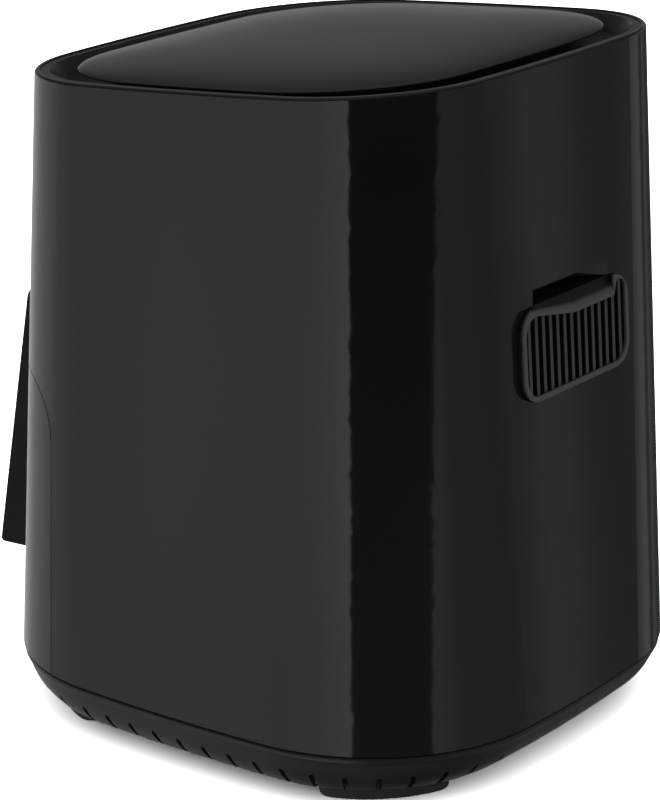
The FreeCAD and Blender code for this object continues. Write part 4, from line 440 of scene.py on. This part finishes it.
def crowned_loop(mesh_data, half_x, half_y, corner, bow, height):
    """A closed loop: a rounded square whose four flanks are shallow arcs."""
    back_x, back_y, reach = bow - half_x, bow - half_y, bow - corner
    ratio = back_y / back_x
    offset = (back_y ** 2 + back_x ** 2) / (2 * back_x)
    root = (ratio * offset) ** 2 - (ratio ** 2 + 1) * (offset ** 2 - reach ** 2)
    centre_y = (math.sqrt(root) - ratio * offset) / (ratio ** 2 + 1)
    centre_x = ratio * centre_y + offset - back_x
    flank_turn = math.atan2(centre_y, centre_x + back_x)
    end_turn = math.atan2(centre_y + back_y, centre_x)
    right = math.pi / 2
    known = set(mesh_data.edges)
    for quarter, (sx, sy) in enumerate(CORNERS):
        along_x = quarter % 2 == 0
        middle = quarter * right
        swing = flank_turn if along_x else right - end_turn
        far_turn = end_turn if along_x else right - flank_turn
        flank = (-back_x * sx, 0.0) if along_x else (0.0, -back_y * sy)
        spun_arc(mesh_data, flank, bow, middle - swing, 2 * swing, FLANK_STEPS, height)
        spun_arc(mesh_data, (centre_x * sx, centre_y * sy), corner,
                 middle + swing, far_turn - swing, CORNER_STEPS, height)
    loop = [edge for edge in mesh_data.edges if edge not in known]
    corners = list({vert for edge in loop for vert in edge.verts})
    bmesh.ops.remove_doubles(mesh_data, verts=corners, dist=0.01 * MM)
    return [edge for edge in mesh_data.edges if edge not in known]


def pull_up(mesh_data, loop, steps):
    """Extrude a loop through shares of its size and heights, and close its end."""
    size = max(vert.co.x for edge in loop for vert in edge.verts)
    for share, height in steps:
        pulled = bmesh.ops.extrude_edge_only(mesh_data, edges=loop)
        verts = [item for item in pulled["geom"] if isinstance(item, bmesh.types.BMVert)]
        loop = [item for item in pulled["geom"] if isinstance(item, bmesh.types.BMEdge)
                and all(vert in verts for vert in item.verts)]
        factor = share * size / max(vert.co.x for vert in verts)
        bmesh.ops.scale(mesh_data, verts=verts, vec=(factor, factor, 1))
        bmesh.ops.translate(mesh_data, verts=verts, vec=(0, 0, height - verts[0].co.z))
    bmesh.ops.contextual_create(mesh_data, geom=loop)


def slot_bar(mesh_data, x, y, turn, skirt):
    """An upright round-topped bar through the skirt, open below its lower edge."""
    radius = skirt.slot_width / 2
    made = bmesh.ops.create_circle(mesh_data, cap_ends=True, segments=20, radius=radius)
    outline = made["verts"]
    lower = [vert for vert in outline if vert.co.y < -0.01 * MM]
    drop = skirt.slot_top - skirt.low_height + SLOT_DROP
    bmesh.ops.translate(mesh_data, verts=lower, vec=(0, -drop, 0))
    pushed = bmesh.ops.extrude_face_region(mesh_data, geom=list(outline[0].link_faces))
    far = [item for item in pushed["geom"] if isinstance(item, bmesh.types.BMVert)]
    bmesh.ops.translate(mesh_data, verts=far, vec=(0, 0, SLOT_REACH))
    upright = Matrix.Rotation(math.pi / 2, 4, "X")
    outward = Matrix.Rotation(turn + math.pi / 2, 4, "Z")
    place = Matrix.Translation((x, y, skirt.slot_top - radius)) @ outward @ upright
    bmesh.ops.transform(mesh_data, matrix=place, verts=outline + far)


def cut_away(mesh_data, cutter_data):
    """The first mesh less the second, as a new mesh."""
    pieces = []
    for data in (mesh_data, cutter_data):
        bmesh.ops.recalc_face_normals(data, faces=data.faces)
        mesh = bpy.data.meshes.new("cut")
        data.to_mesh(mesh)
        data.free()
        pieces.append(bpy.data.objects.new("cut", mesh))
        bpy.context.scene.collection.objects.link(pieces[-1])
    body, cutter = pieces
    cut = body.modifiers.new("cut", "BOOLEAN")
    cut.operation = "DIFFERENCE"
    cut.solver = "EXACT"
    cut.object = cutter
    finished = body.evaluated_get(bpy.context.evaluated_depsgraph_get())
    done = bpy.data.meshes.new_from_object(finished)
    result = bmesh.new()
    result.from_mesh(done)
    for item in (body.data, cutter.data, done):
        bpy.data.meshes.remove(item)
    return result


def skirt_wall(skirt):
    """A closed wall from loops that run down outside and up inside, round a baffle."""
    wall = skirt.wall
    # Share of the height, share of the turning in, and inset from the outline
    outside = [(0.0, 0.0, 1.5 * MM), (0.014, 0.0, 0.8 * MM), (0.035, 0.0, 0.3 * MM),
               (0.065, 0.0, 0.06 * MM), (0.12, 0.0, 0.0), (0.15, 0.1, 0.0), (0.22, 0.22, 0.0),
               (0.35, 0.35, 0.0), (0.5, 0.5, 0.0), (0.65, 0.65, 0.0), (0.8, 0.8, 0.0),
               (0.92, 0.92, 0.0), (0.975, 0.975, 0.12 * MM), (1.0, 1.0, 0.6 * MM)]
    inside = [(1.0, 1.0, wall - 0.6 * MM), (0.95, 0.95, wall), (0.6, 0.6, wall), (0.5, 0.5, wall)]
    baffle = [(0.5, 1.0, BAFFLE_FRONT), (0.985, 1.0, BAFFLE_FRONT),
              (0.985, 1.0, BAFFLE_BACK), (0.43, 1.0, BAFFLE_BACK)]
    upper = [(0.43, 0.43, wall), (0.2, 0.2, wall), (0.0, 0.0, wall + 0.6 * MM)]
    mesh_data = bmesh.new()
    loops = []
    for down, turned, inset in outside + inside + baffle + upper:
        tuck = TUCK_LINE * turned + (1 - TUCK_LINE) * turned ** 3
        half_x = skirt.side_half - skirt.tuck_side * tuck - inset
        half_y = skirt.end_half - skirt.tuck_end * tuck - inset
        corner = skirt.corner - skirt.tuck_corner * tuck - inset
        height = skirt.top_height - (skirt.top_height - skirt.low_height) * down
        loops.append(crowned_loop(mesh_data, half_x, half_y, corner, skirt.bow - inset, height))
    for here, following in zip(loops, loops[1:] + loops[:1]):
        bmesh.ops.bridge_loops(mesh_data, edges=here + following)
    return mesh_data


def slot_places(skirt):
    """Foot and outward turn of every slot: flanks, ends, then the fans at the corners."""
    half_x = skirt.side_half - skirt.tuck_side
    half_y = skirt.end_half - skirt.tuck_end
    corner = skirt.corner - skirt.tuck_corner
    places = []
    for step in range(-FLANK_SLOTS, FLANK_SLOTS + 1):
        y = step * skirt.slot_pitch + FLANK_SHIFT
        places += [(half_x - SLOT_FOOT, y, 0.0), (SLOT_FOOT - half_x, y, math.pi)]
    for x in (-skirt.end_slot, skirt.end_slot):
        places += [(x, half_y - SLOT_FOOT, math.pi / 2), (x, SLOT_FOOT - half_y, -math.pi / 2)]
    for sx, sy in CORNERS:
        for turn in CORNER_SLOTS:
            out_x, out_y = math.cos(turn), math.sin(turn)
            x = half_x - corner + (corner - SLOT_FOOT) * out_x
            y = half_y - corner + (corner - SLOT_FOOT) * out_y
            places.append((sx * x, sy * y, math.atan2(sy * out_y, sx * out_x)))
    return places


def screw_faces(node):
    """Middle of each screw head's outer face, with +Z out of the head."""
    low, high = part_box(node)
    if node == "base_screws":
        down = Matrix.Rotation(math.pi, 4, "X")
        return [Matrix.Translation((x, y, low.z)) @ down
                for x in (low.x + BASE_SCREW, high.x - BASE_SCREW)
                for y in (low.y + BASE_SCREW, high.y - BASE_SCREW)]
    back = Matrix.Rotation(-math.pi / 2, 4, "X")
    return [Matrix.Translation((x, high.y, (low.z + high.z) / 2)) @ back
            for x in (low.x + HANDLE_SCREW, high.x - HANDLE_SCREW)]


# Studio ----------------------------------------------------------------------

def screen_mask(turn, lift):
    """1 past the near edge of a tall dark screen, and 1 on the screen itself."""
    near = (turn - (lift + 8) * 0.127 - SCREEN_NEAR).rise(-0.9, 0.9)
    climb = (lift - SCREEN_FOOT).math("MAXIMUM", 0.0)
    far = (turn - climb * 0.75 - climb * climb * 0.087 - SCREEN_FAR).rise(-1.0, 1.0)
    return near, near * (1 - far)


def light_surroundings(scene, level):
    """Even white light, with a banded studio in what glossy parts reflect."""
    world = bpy.data.worlds.new("studio")
    world.use_nodes = True
    world.cycles.sampling_method = "NONE"
    scene.world = world
    b = Board(world.node_tree)
    x, y, z = b.split(b.add("ShaderNodeTexCoord", output="Generated"))
    turn = y.math("ARCTAN2", x) * math.degrees(1)
    lift = z.math("ARCSINE") * math.degrees(1)
    walls = b.ramp((turn + 180) / 360, [((angle + 180) / 360, value) for angle, value in SURROUND])
    near, screen = screen_mask(turn, lift)
    screen_level = ((lift + 9) * -0.0067).math("MAXIMUM", 0.0).math("MINIMUM", 0.06)
    # The window side fades a little above and below its middle
    off_middle = (z + 0.24) * 11
    fade = (off_middle * off_middle).math("MINIMUM", 1.0) * 0.1
    window = turn.rise(-47, -43) * (1 - near)
    lower = walls * (1 - fade * window) * (1 - screen) + screen_level * screen
    # The ground is darkest straight below, in the object's own shade
    side = ((turn - GROUND_SIDE) / math.degrees(1)).math("COSINE") * GROUND_SWING + GROUND
    under = side * (z.rise(-0.95, -0.72) * 0.65 + 0.35)
    ground = 1 - z.rise(-0.62, -0.42)
    lower = lower * (1 - ground) + ground * under
    ceiling = b.ramp(lift / 90, [(angle / 90, value) for angle, value in CEILING])
    above = lift.rise(-3.0, 1.0)
    seen = lower * (1 - above) + ceiling * above
    paths = b.add("ShaderNodeLightPath").socket.node.outputs
    camera, clear, glossy = (
        Shade(b, paths[name]) for name in ("Is Camera Ray", "Is Transmission Ray", "Is Glossy Ray"))
    direct = (camera + clear).math("MINIMUM", 1.0)
    strength = (seen * glossy + level * (1 - glossy)) * (1 - direct) + direct
    sockets = {"Color": (1.0, 1.0, 1.0, 1.0), "Strength": strength}
    light = b.add("ShaderNodeBackground", None, sockets)
    b.add("ShaderNodeOutputWorld", None, {"Surface": light})


def add_floor(white):
    """A white floor that keeps the object's shadow and isn't seen in its gloss."""
    mesh_data = bmesh.new()
    bmesh.ops.create_grid(mesh_data, x_segments=2, y_segments=2, size=4.0)
    mesh = bpy.data.meshes.new("studio_floor")
    mesh_data.to_mesh(mesh)
    mesh_data.free()
    floor = bpy.data.objects.new("studio_floor", mesh)
    bpy.context.scene.collection.objects.link(floor)
    f = Finish("floor_white")
    camera = f.add("ShaderNodeLightPath", output="Is Camera Ray")
    paper = f.noise(3.0, 2.0)
    tone = f.mix(paper, (0.88, 0.88, 0.88, 1.0), (0.9, 0.9, 0.9, 1.0))
    seen = f.mix(camera, tone, (white, white, white, 1.0))
    matte = f.add("ShaderNodeBsdfDiffuse", None, {"Color": seen})
    f.add("ShaderNodeOutputMaterial", None, {"Surface": matte})
    mesh.materials.append(f.material)
    floor.visible_glossy = False


def add_lamp(power):
    """One broad soft lamp overhead, kept out of the gloss."""
    lamp = bpy.data.lights.new("soft_lamp", "AREA")
    lamp.shape = "SQUARE"
    lamp.size = LAMP_SIZE
    lamp.energy = power
    holder = bpy.data.objects.new("soft_lamp", lamp)
    holder.location = LAMP_PLACE
    aim = Vector(LAMP_AIM) - holder.location
    holder.rotation_euler = aim.to_track_quat("-Z", "Y").to_euler()
    holder.visible_glossy = False
    holder.visible_camera = False
    bpy.context.scene.collection.objects.link(holder)


def aim_camera(scene, settings):
    """The camera on its circle about the air fryer, with a small lens shift."""
    turn, lift = settings.camera_azimuth, settings.camera_elevation
    level = math.cos(lift)
    back = Vector((math.sin(turn) * level, -math.cos(turn) * level, math.sin(lift)))
    camera = bpy.data.cameras.new("camera")
    camera.lens = settings.camera_lens
    camera.sensor_width = 36.0
    camera.shift_x, camera.shift_y = settings.camera_shift
    camera.clip_end = 50.0
    holder = bpy.data.objects.new("camera", camera)
    holder.location = Vector((0, 0, settings.camera_height)) + back * settings.camera_distance
    holder.rotation_euler = back.to_track_quat("Z", "Y").to_euler()
    scene.collection.objects.link(holder)
    scene.camera = holder


# Settings --------------------------------------------------------------------


class AirFryerFinishes(bpy.types.PropertyGroup):
    """Colours and sheen of the visible plastics and metals."""

    housing_colour: FloatVectorProperty(
        name="Housing", description="Colour of the glossy covers", subtype="COLOR",
        size=3, min=0.0, max=1.0, default=(0.0045, 0.0045, 0.0048))
    housing_roughness: FloatProperty(
        name="Housing roughness", description="Haze of the glossy covers", subtype="FACTOR",
        min=0.0, max=1.0, default=0.06)
    lid_roughness: FloatProperty(
        name="Lid roughness", description="Haze of the lid", subtype="FACTOR",
        min=0.0, max=1.0, default=0.12)
    satin_colour: FloatVectorProperty(
        name="Satin parts", description="Colour of the base, skirt and bezel", subtype="COLOR",
        size=3, min=0.0, max=1.0, default=(0.009, 0.009, 0.0095))
    grille_colour: FloatVectorProperty(
        name="Grille", description="Colour of the exhaust grille", subtype="COLOR",
        size=3, min=0.0, max=1.0, default=(0.042, 0.042, 0.0425))
    handle_colour: FloatVectorProperty(
        name="Handle", description="Colour of the handle", subtype="COLOR",
        size=3, min=0.0, max=1.0, default=(0.006, 0.006, 0.0063))
    coating_colour: FloatVectorProperty(
        name="Basket", description="Colour of the non-stick coating", subtype="COLOR",
        size=3, min=0.0, max=1.0, default=(0.02, 0.02, 0.021))
    steel_colour: FloatVectorProperty(
        name="Sheet steel", description="Colour of the coated sheet inside", subtype="COLOR",
        size=3, min=0.0, max=1.0, default=(0.62, 0.62, 0.61))


class AirFryerTrim(bpy.types.PropertyGroup):
    """Sizes of the lid and the small trim."""

    rivet_radius: FloatProperty(
        name="Rivet radius", description="Radius of the basket's rivet heads",
        unit="LENGTH", min=0.001, max=0.01, default=0.0042)
    rivet_spread: FloatProperty(
        name="Rivet spread", description="Distance between the basket's two rivets",
        unit="LENGTH", min=0.02, max=0.12, default=0.044)
    rivet_rise: FloatProperty(
        name="Rivet rise", description="Height of the domed rivet heads",
        unit="LENGTH", min=0.0005, max=0.005, default=0.0013)
    rivet_drop: FloatProperty(
        name="Rivet drop", description="Distance of the rivets under the bracket's upper edge",
        unit="LENGTH", min=0.005, max=0.05, default=0.016)
    lid_crown: FloatProperty(
        name="Lid crown", description="Rise of the lid from its edge to its middle",
        unit="LENGTH", min=0.0, max=0.01, default=0.0034)
    lid_tilt: FloatProperty(
        name="Lid tilt", description="Slope of the lid, rising to the rear",
        subtype="ANGLE", default=math.radians(4.37))
    lid_height: FloatProperty(
        name="Lid height", description="Height of the lid's underside on the middle line",
        unit="LENGTH", min=0.1, max=0.6, default=0.3291)
    recess_length: FloatProperty(
        name="Drive recess", description="Length of a screw's cross recess",
        unit="LENGTH", min=0.001, max=0.008, default=0.0042)


class AirFryerSkirt(bpy.types.PropertyGroup):
    """Sizes of the slotted skirt under the housing."""

    side_half: FloatProperty(
        name="Upper half width", description="Half width of the skirt's upper edge",
        unit="LENGTH", min=0.05, max=0.3, default=0.1395)
    end_half: FloatProperty(
        name="Upper half depth", description="Half depth of the skirt's upper edge",
        unit="LENGTH", min=0.05, max=0.3, default=0.1445)
    corner: FloatProperty(
        name="Upper corner", description="Plan radius of the upper edge's corners",
        unit="LENGTH", min=0.01, max=0.14, default=0.0932)
    bow: FloatProperty(
        name="Flank bow", description="Plan radius of the shallow flanks",
        unit="LENGTH", min=0.3, max=5.0, default=FLANK_BOW)
    top_height: FloatProperty(
        name="Upper height", description="Height of the skirt's upper edge",
        unit="LENGTH", min=0.015, max=0.06, default=0.0296)
    low_height: FloatProperty(
        name="Lower height", description="Height of the skirt's lower edge",
        unit="LENGTH", min=0.002, max=0.012, default=0.0069)
    tuck_side: FloatProperty(
        name="Side tuck", description="How far the flanks turn in at the lower edge",
        unit="LENGTH", min=0.0, max=0.03, default=0.0132)
    tuck_end: FloatProperty(
        name="End tuck", description="How far the front and rear turn in at the lower edge",
        unit="LENGTH", min=0.0, max=0.03, default=0.0186)
    tuck_corner: FloatProperty(
        name="Corner tuck", description="How much smaller the lower edge's corner radius is",
        unit="LENGTH", min=0.0, max=0.05, default=0.0202)
    wall: FloatProperty(
        name="Wall", description="Thickness of the skirt",
        unit="LENGTH", min=0.001, max=0.006, default=0.003)
    slot_width: FloatProperty(
        name="Slot width", description="Width of an air slot",
        unit="LENGTH", min=0.001, max=0.006, default=0.0028)
    slot_top: FloatProperty(
        name="Slot top", description="Height of a slot's round top",
        unit="LENGTH", min=0.01, max=0.018, default=0.0176)
    slot_pitch: FloatProperty(
        name="Slot pitch", description="Distance between slots",
        unit="LENGTH", min=0.008, max=0.03, default=0.015)
    end_slot: FloatProperty(
        name="End slot", description="Distance of the front and rear slots from the middle",
        unit="LENGTH", min=0.0, max=0.05, default=0.037)


class AirFryerStage(bpy.types.PropertyGroup):
    """Camera and studio."""

    camera_azimuth: FloatProperty(
        name="Camera azimuth", description="Turn of the camera about the air fryer",
        subtype="ANGLE", default=math.radians(126.32))
    camera_elevation: FloatProperty(
        name="Camera elevation", description="Height angle of the camera",
        subtype="ANGLE", default=math.radians(17.10))
    camera_distance: FloatProperty(
        name="Camera distance", description="Camera to the air fryer's middle",
        unit="LENGTH", min=0.5, max=5.0, default=1.56012)
    camera_height: FloatProperty(
        name="Aim height", description="Height that the camera looks at",
        unit="LENGTH", min=0.0, max=1.0, default=0.18)
    camera_lens: FloatProperty(
        name="Focal length", description="Camera lens in millimetres", unit="CAMERA",
        min=20.0, max=300.0, default=142.45)
    camera_shift: FloatVectorProperty(
        name="Lens shift", description="Sideways and upward shift of the lens",
        size=2, min=-0.5, max=0.5, default=(-0.01676, -0.07057))
    surround_level: FloatProperty(
        name="Surround", description="Level of the soft light from all round",
        min=0.0, max=2.0, default=0.8)
    lamp_power: FloatProperty(
        name="Lamp", description="Power of the soft lamp overhead in watts", unit="POWER",
        min=0.0, max=100.0, default=9.0)
    floor_white: FloatProperty(
        name="Floor", description="How white the camera sees the floor",
        min=0.0, max=4.0, default=3.0)


# Operators -------------------------------------------------------------------


class AIRFRYER_OT_housing(bpy.types.Operator):
    """Finish the housing, bezel and control panel"""

    bl_idname = "air_fryer.housing"
    bl_label = "Housing"

    def execute(self, context):
        looks = context.scene.air_fryer_finishes
        dress(glossy_moulding("housing_gloss", looks.housing_colour, looks.housing_roughness),
              "outer_shell")
        dress(satin_moulding("bezel_satin", looks.satin_colour, 0.22, depth=0.01 * MM), "top_bezel")
        low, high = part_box("display_module")
        dress(touch_panel("control_panel", looks.housing_colour, low, high), "control_fascia")
        return {"FINISHED"}


class AIRFRYER_OT_lid(bpy.types.Operator):
    """Model the pillowed lid on its plinth"""

    bl_idname = "air_fryer.lid"
    bl_label = "Lid"

    def execute(self, context):
        trim = context.scene.air_fryer_trim
        looks = context.scene.air_fryer_finishes
        low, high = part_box("top_lid")
        half_x = (high.x - low.x) / 2
        half_y = (high.y - low.y) / 2 / math.cos(trim.lid_tilt)
        mesh_data = bmesh.new()
        loop = crowned_loop(mesh_data, half_x, half_y, LID_CORNER, FLANK_BOW, 0.0)
        sizes = (1.0, 0.996, 0.99, 0.98, 0.965, 0.945, 0.92, 0.89, 0.85, 0.8, 0.74, 0.67,
                 0.59, 0.5, 0.4, 0.3, 0.2, 0.1, 0.03)
        pull_up(mesh_data, loop, [
            (size, LID_EDGE + trim.lid_crown * math.sqrt(1 - size ** 3)) for size in sizes])
        plinth = 1 - PLINTH_INSET / half_x
        pull_up(mesh_data, loop, [(plinth, 0.0), (plinth, -PLINTH_DEPTH)])
        middle = Matrix.Translation((0, (low.y + high.y) / 2, trim.lid_height))
        mesh_data.transform(middle @ Matrix.Rotation(trim.lid_tilt, 4, "X"))
        gloss = glossy_moulding("lid_gloss", looks.housing_colour, looks.lid_roughness)
        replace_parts(finish_mesh("lid_cover", mesh_data, gloss, "housing"), "top_lid")
        return {"FINISHED"}


class AIRFRYER_OT_base(bpy.types.Operator):
    """Finish the base pan, feet, cord gland and grille"""

    bl_idname = "air_fryer.base"
    bl_label = "Base and grille"

    def execute(self, context):
        looks = context.scene.air_fryer_finishes
        dress(satin_moulding("base_satin", looks.satin_colour, 0.36), "base_pan")
        grille = grille_moulding("grille_satin_painted_shade", looks.grille_colour, *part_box("vent_grille"))
        dress(grille, "vent_grille")
        feet = [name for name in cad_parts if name.startswith("foot_")]
        dress(soft_rubber("foot_rubber", rgba(looks.satin_colour, 2)), *feet, "cord_gland")
        return {"FINISHED"}


class AIRFRYER_OT_skirt(bpy.types.Operator):
    """Model the slotted skirt that stands under the housing"""

    bl_idname = "air_fryer.skirt"
    bl_label = "Slotted skirt"

    def execute(self, context):
        skirt = context.scene.air_fryer_skirt
        looks = context.scene.air_fryer_finishes
        bars = bmesh.new()
        for x, y, turn in slot_places(skirt):
            slot_bar(bars, x, y, turn, skirt)
        slotted = cut_away(skirt_wall(skirt), bars)
        satin = satin_moulding("skirt_satin", looks.satin_colour, 0.24, depth=0.015 * MM)
        finish_mesh("base_skirt", slotted, satin, "housing")
        return {"FINISHED"}


class AIRFRYER_OT_drawer(bpy.types.Operator):
    """Finish the drawer front, its handle and their fasteners"""

    bl_idname = "air_fryer.drawer"
    bl_label = "Drawer and handle"

    def execute(self, context):
        looks = context.scene.air_fryer_finishes
        dress(glossy_moulding("drawer_gloss", looks.housing_colour, looks.housing_roughness),
              "drawer_front")
        dress(satin_moulding("handle_satin", looks.handle_colour, 0.5, shine=0.2), "handle_grip")
        dress(satin_moulding("liner_satin", looks.satin_colour, 0.45), "drawer_liner")
        dress(galvanised_sheet("bracket_zinc", looks.steel_colour),
              "handle_bracket", "basket_bracket")
        dress(turned_metal("magnet_nickel", (0.66, 0.64, 0.58), 0.18), "drawer_magnet")
        return {"FINISHED"}


class AIRFRYER_OT_basket(bpy.types.Operator):
    """Finish the basket and crisper plate"""

    bl_idname = "air_fryer.basket"
    bl_label = "Basket"

    def execute(self, context):
        looks = context.scene.air_fryer_finishes
        dress(nonstick_coating("basket_coating", looks.coating_colour), "basket", "crisper_plate")
        dress(soft_rubber("plate_silicone", (0.03, 0.03, 0.031)), "plate_feet")
        return {"FINISHED"}


class AIRFRYER_OT_chamber(bpy.types.Operator):
    """Finish the cooking chamber, heater and their sheet metal"""

    bl_idname = "air_fryer.chamber"
    bl_label = "Chamber and heater"

    def execute(self, context):
        looks = context.scene.air_fryer_finishes
        sheet = galvanised_sheet("chamber_sheet", looks.steel_colour)
        dress(sheet, "cooking_chamber", "chamber_front_frame", "heat_shield", "motor_bracket",
              "exhaust_duct")
        dress(turned_metal("rail_steel", (0.58, 0.58, 0.58), 0.26, (2400.0, 40.0, 2400.0)),
              "drawer_rail_left", "drawer_rail_right", "element_clamps", "temperature_sensor")
        dress(turned_metal("reflector_bright", (0.8, 0.8, 0.81), 0.16, (900.0, 60.0, 900.0)),
              "heat_reflector")
        dress(turned_metal("element_sheath", (0.2, 0.19, 0.18), 0.42, stain=(0.13, 0.1, 0.09)),
              "heating_element")
        dress(turned_metal("guard_chrome", (0.75, 0.75, 0.76), 0.1), "heater_guard")
        return {"FINISHED"}


class AIRFRYER_OT_drive(bpy.types.Operator):
    """Finish the motor, shaft and fans"""

    bl_idname = "air_fryer.drive"
    bl_label = "Motor and fans"

    def execute(self, context):
        dress(turned_metal("motor_steel", (0.45, 0.45, 0.46), 0.34), "fan_motor")
        dress(turned_metal("shaft_steel", (0.62, 0.62, 0.62), 0.16), "motor_shaft")
        dress(turned_metal("fan_aluminium", (0.74, 0.74, 0.75), 0.3, (700.0, 700.0, 80.0)),
              "hot_air_fan")
        dress(satin_moulding("cooler_nylon", (0.02, 0.02, 0.02), 0.45), "cooling_fan")
        dress(turned_metal("nut_brass", (0.7, 0.52, 0.24), 0.24), "fan_nut")
        return {"FINISHED"}


class AIRFRYER_OT_electronics(bpy.types.Operator):
    """Finish the boards, display, switch and cut-off"""

    bl_idname = "air_fryer.electronics"
    bl_label = "Electronics"

    def execute(self, context):
        dress(circuit_board("board_green", (0.02, 0.12, 0.05)), "power_board", "control_board")
        dress(satin_moulding("display_black", (0.012, 0.012, 0.013), 0.3), "display_module")
        dress(glazed_ceramic("cutoff_ceramic", (0.78, 0.74, 0.66)), "thermal_cutoff")
        dress(satin_moulding("switch_nylon", (0.7, 0.7, 0.67), 0.45), "reed_switch")
        return {"FINISHED"}


class AIRFRYER_OT_screws(bpy.types.Operator):
    """Finish the screws and set dark cross recesses in their heads"""

    bl_idname = "air_fryer.screws"
    bl_label = "Screws"

    def execute(self, context):
        trim = context.scene.air_fryer_trim
        zinc = turned_metal("screw_zinc", (0.6, 0.6, 0.59), 0.26)
        dress(zinc, "base_screws", "handle_screws")
        shadow = satin_moulding("recess_shadow", (0.01, 0.01, 0.01), 0.6)
        long = trim.recess_length
        for name, node, body in (("base_screw_recesses", "base_screws", "housing"),
                                 ("handle_screw_recesses", "handle_screws", "drawer")):
            mesh_data = bmesh.new()
            for place in screw_faces(node):
                cross_bar(mesh_data, place, long, long * RECESS_SHARE, RECESS_DEPTH)
            finish_mesh(name, mesh_data, shadow, body)
        return {"FINISHED"}


class AIRFRYER_OT_rivets(bpy.types.Operator):
    """Add the two rivets that hold the basket to its bracket"""

    bl_idname = "air_fryer.rivets"
    bl_label = "Basket rivets"

    def execute(self, context):
        trim = context.scene.air_fryer_trim
        low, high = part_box("basket_bracket")
        mesh_data = bmesh.new()
        for side in (-1, 1):
            head = bmesh.new()
            turned_head(head, trim.rivet_radius, trim.rivet_rise)
            spot = Matrix.Translation((
                side * trim.rivet_spread / 2, high.y - RIVET_SINK, high.z - trim.rivet_drop))
            head.transform(spot @ Matrix.Rotation(-math.pi / 2, 4, "X"))
            part = bpy.data.meshes.new("rivet")
            head.to_mesh(part)
            head.free()
            mesh_data.from_mesh(part)
            bpy.data.meshes.remove(part)
        steel = turned_metal("rivet_steel", (0.55, 0.55, 0.55), 0.25)
        finish_mesh("basket_rivets", mesh_data, steel, "drawer")
        return {"FINISHED"}


class AIRFRYER_OT_stage(bpy.types.Operator):
    """Set the floor, the surroundings, the lamp and the camera"""

    bl_idname = "air_fryer.stage"
    bl_label = "Studio"

    def execute(self, context):
        settings = context.scene.air_fryer_stage
        context.scene.view_settings.view_transform = "Standard"
        add_floor(settings.floor_white)
        light_surroundings(context.scene, settings.surround_level)
        add_lamp(settings.lamp_power)
        aim_camera(context.scene, settings)
        return {"FINISHED"}


# Panel and registration ------------------------------------------------------

STEPS = (
    AIRFRYER_OT_housing, AIRFRYER_OT_lid, AIRFRYER_OT_base, AIRFRYER_OT_skirt,
    AIRFRYER_OT_drawer, AIRFRYER_OT_basket, AIRFRYER_OT_chamber, AIRFRYER_OT_drive,
    AIRFRYER_OT_electronics, AIRFRYER_OT_screws, AIRFRYER_OT_rivets, AIRFRYER_OT_stage)
GROUPS = {
    "air_fryer_finishes": AirFryerFinishes, "air_fryer_trim": AirFryerTrim,
    "air_fryer_skirt": AirFryerSkirt, "air_fryer_stage": AirFryerStage}


class AIRFRYER_PT_panel(bpy.types.Panel):
    """Steps and settings of the air fryer"""

    bl_label = "Air Fryer"
    bl_idname = "AIRFRYER_PT_panel"
    bl_space_type = "VIEW_3D"
    bl_region_type = "UI"
    bl_category = "Air Fryer"

    def draw(self, context):
        for step in STEPS:
            self.layout.operator(step.bl_idname)
        for group in GROUPS:
            settings = getattr(context.scene, group)
            box = self.layout.box()
            for name in settings.__annotations__:
                box.prop(settings, name)


CLASSES = (*GROUPS.values(), *STEPS, AIRFRYER_PT_panel)


def register():
    for item in CLASSES:
        bpy.utils.register_class(item)
    for name, group in GROUPS.items():
        setattr(bpy.types.Scene, name, PointerProperty(type=group))


def unregister():
    for name in GROUPS:
        delattr(bpy.types.Scene, name)
    for item in reversed(CLASSES):
        bpy.utils.unregister_class(item)


def main():
    register()
    for step in STEPS:
        group, name = step.bl_idname.split(".")
        getattr(getattr(bpy.ops, group), name)()


if __name__ == "__main__":
    main()
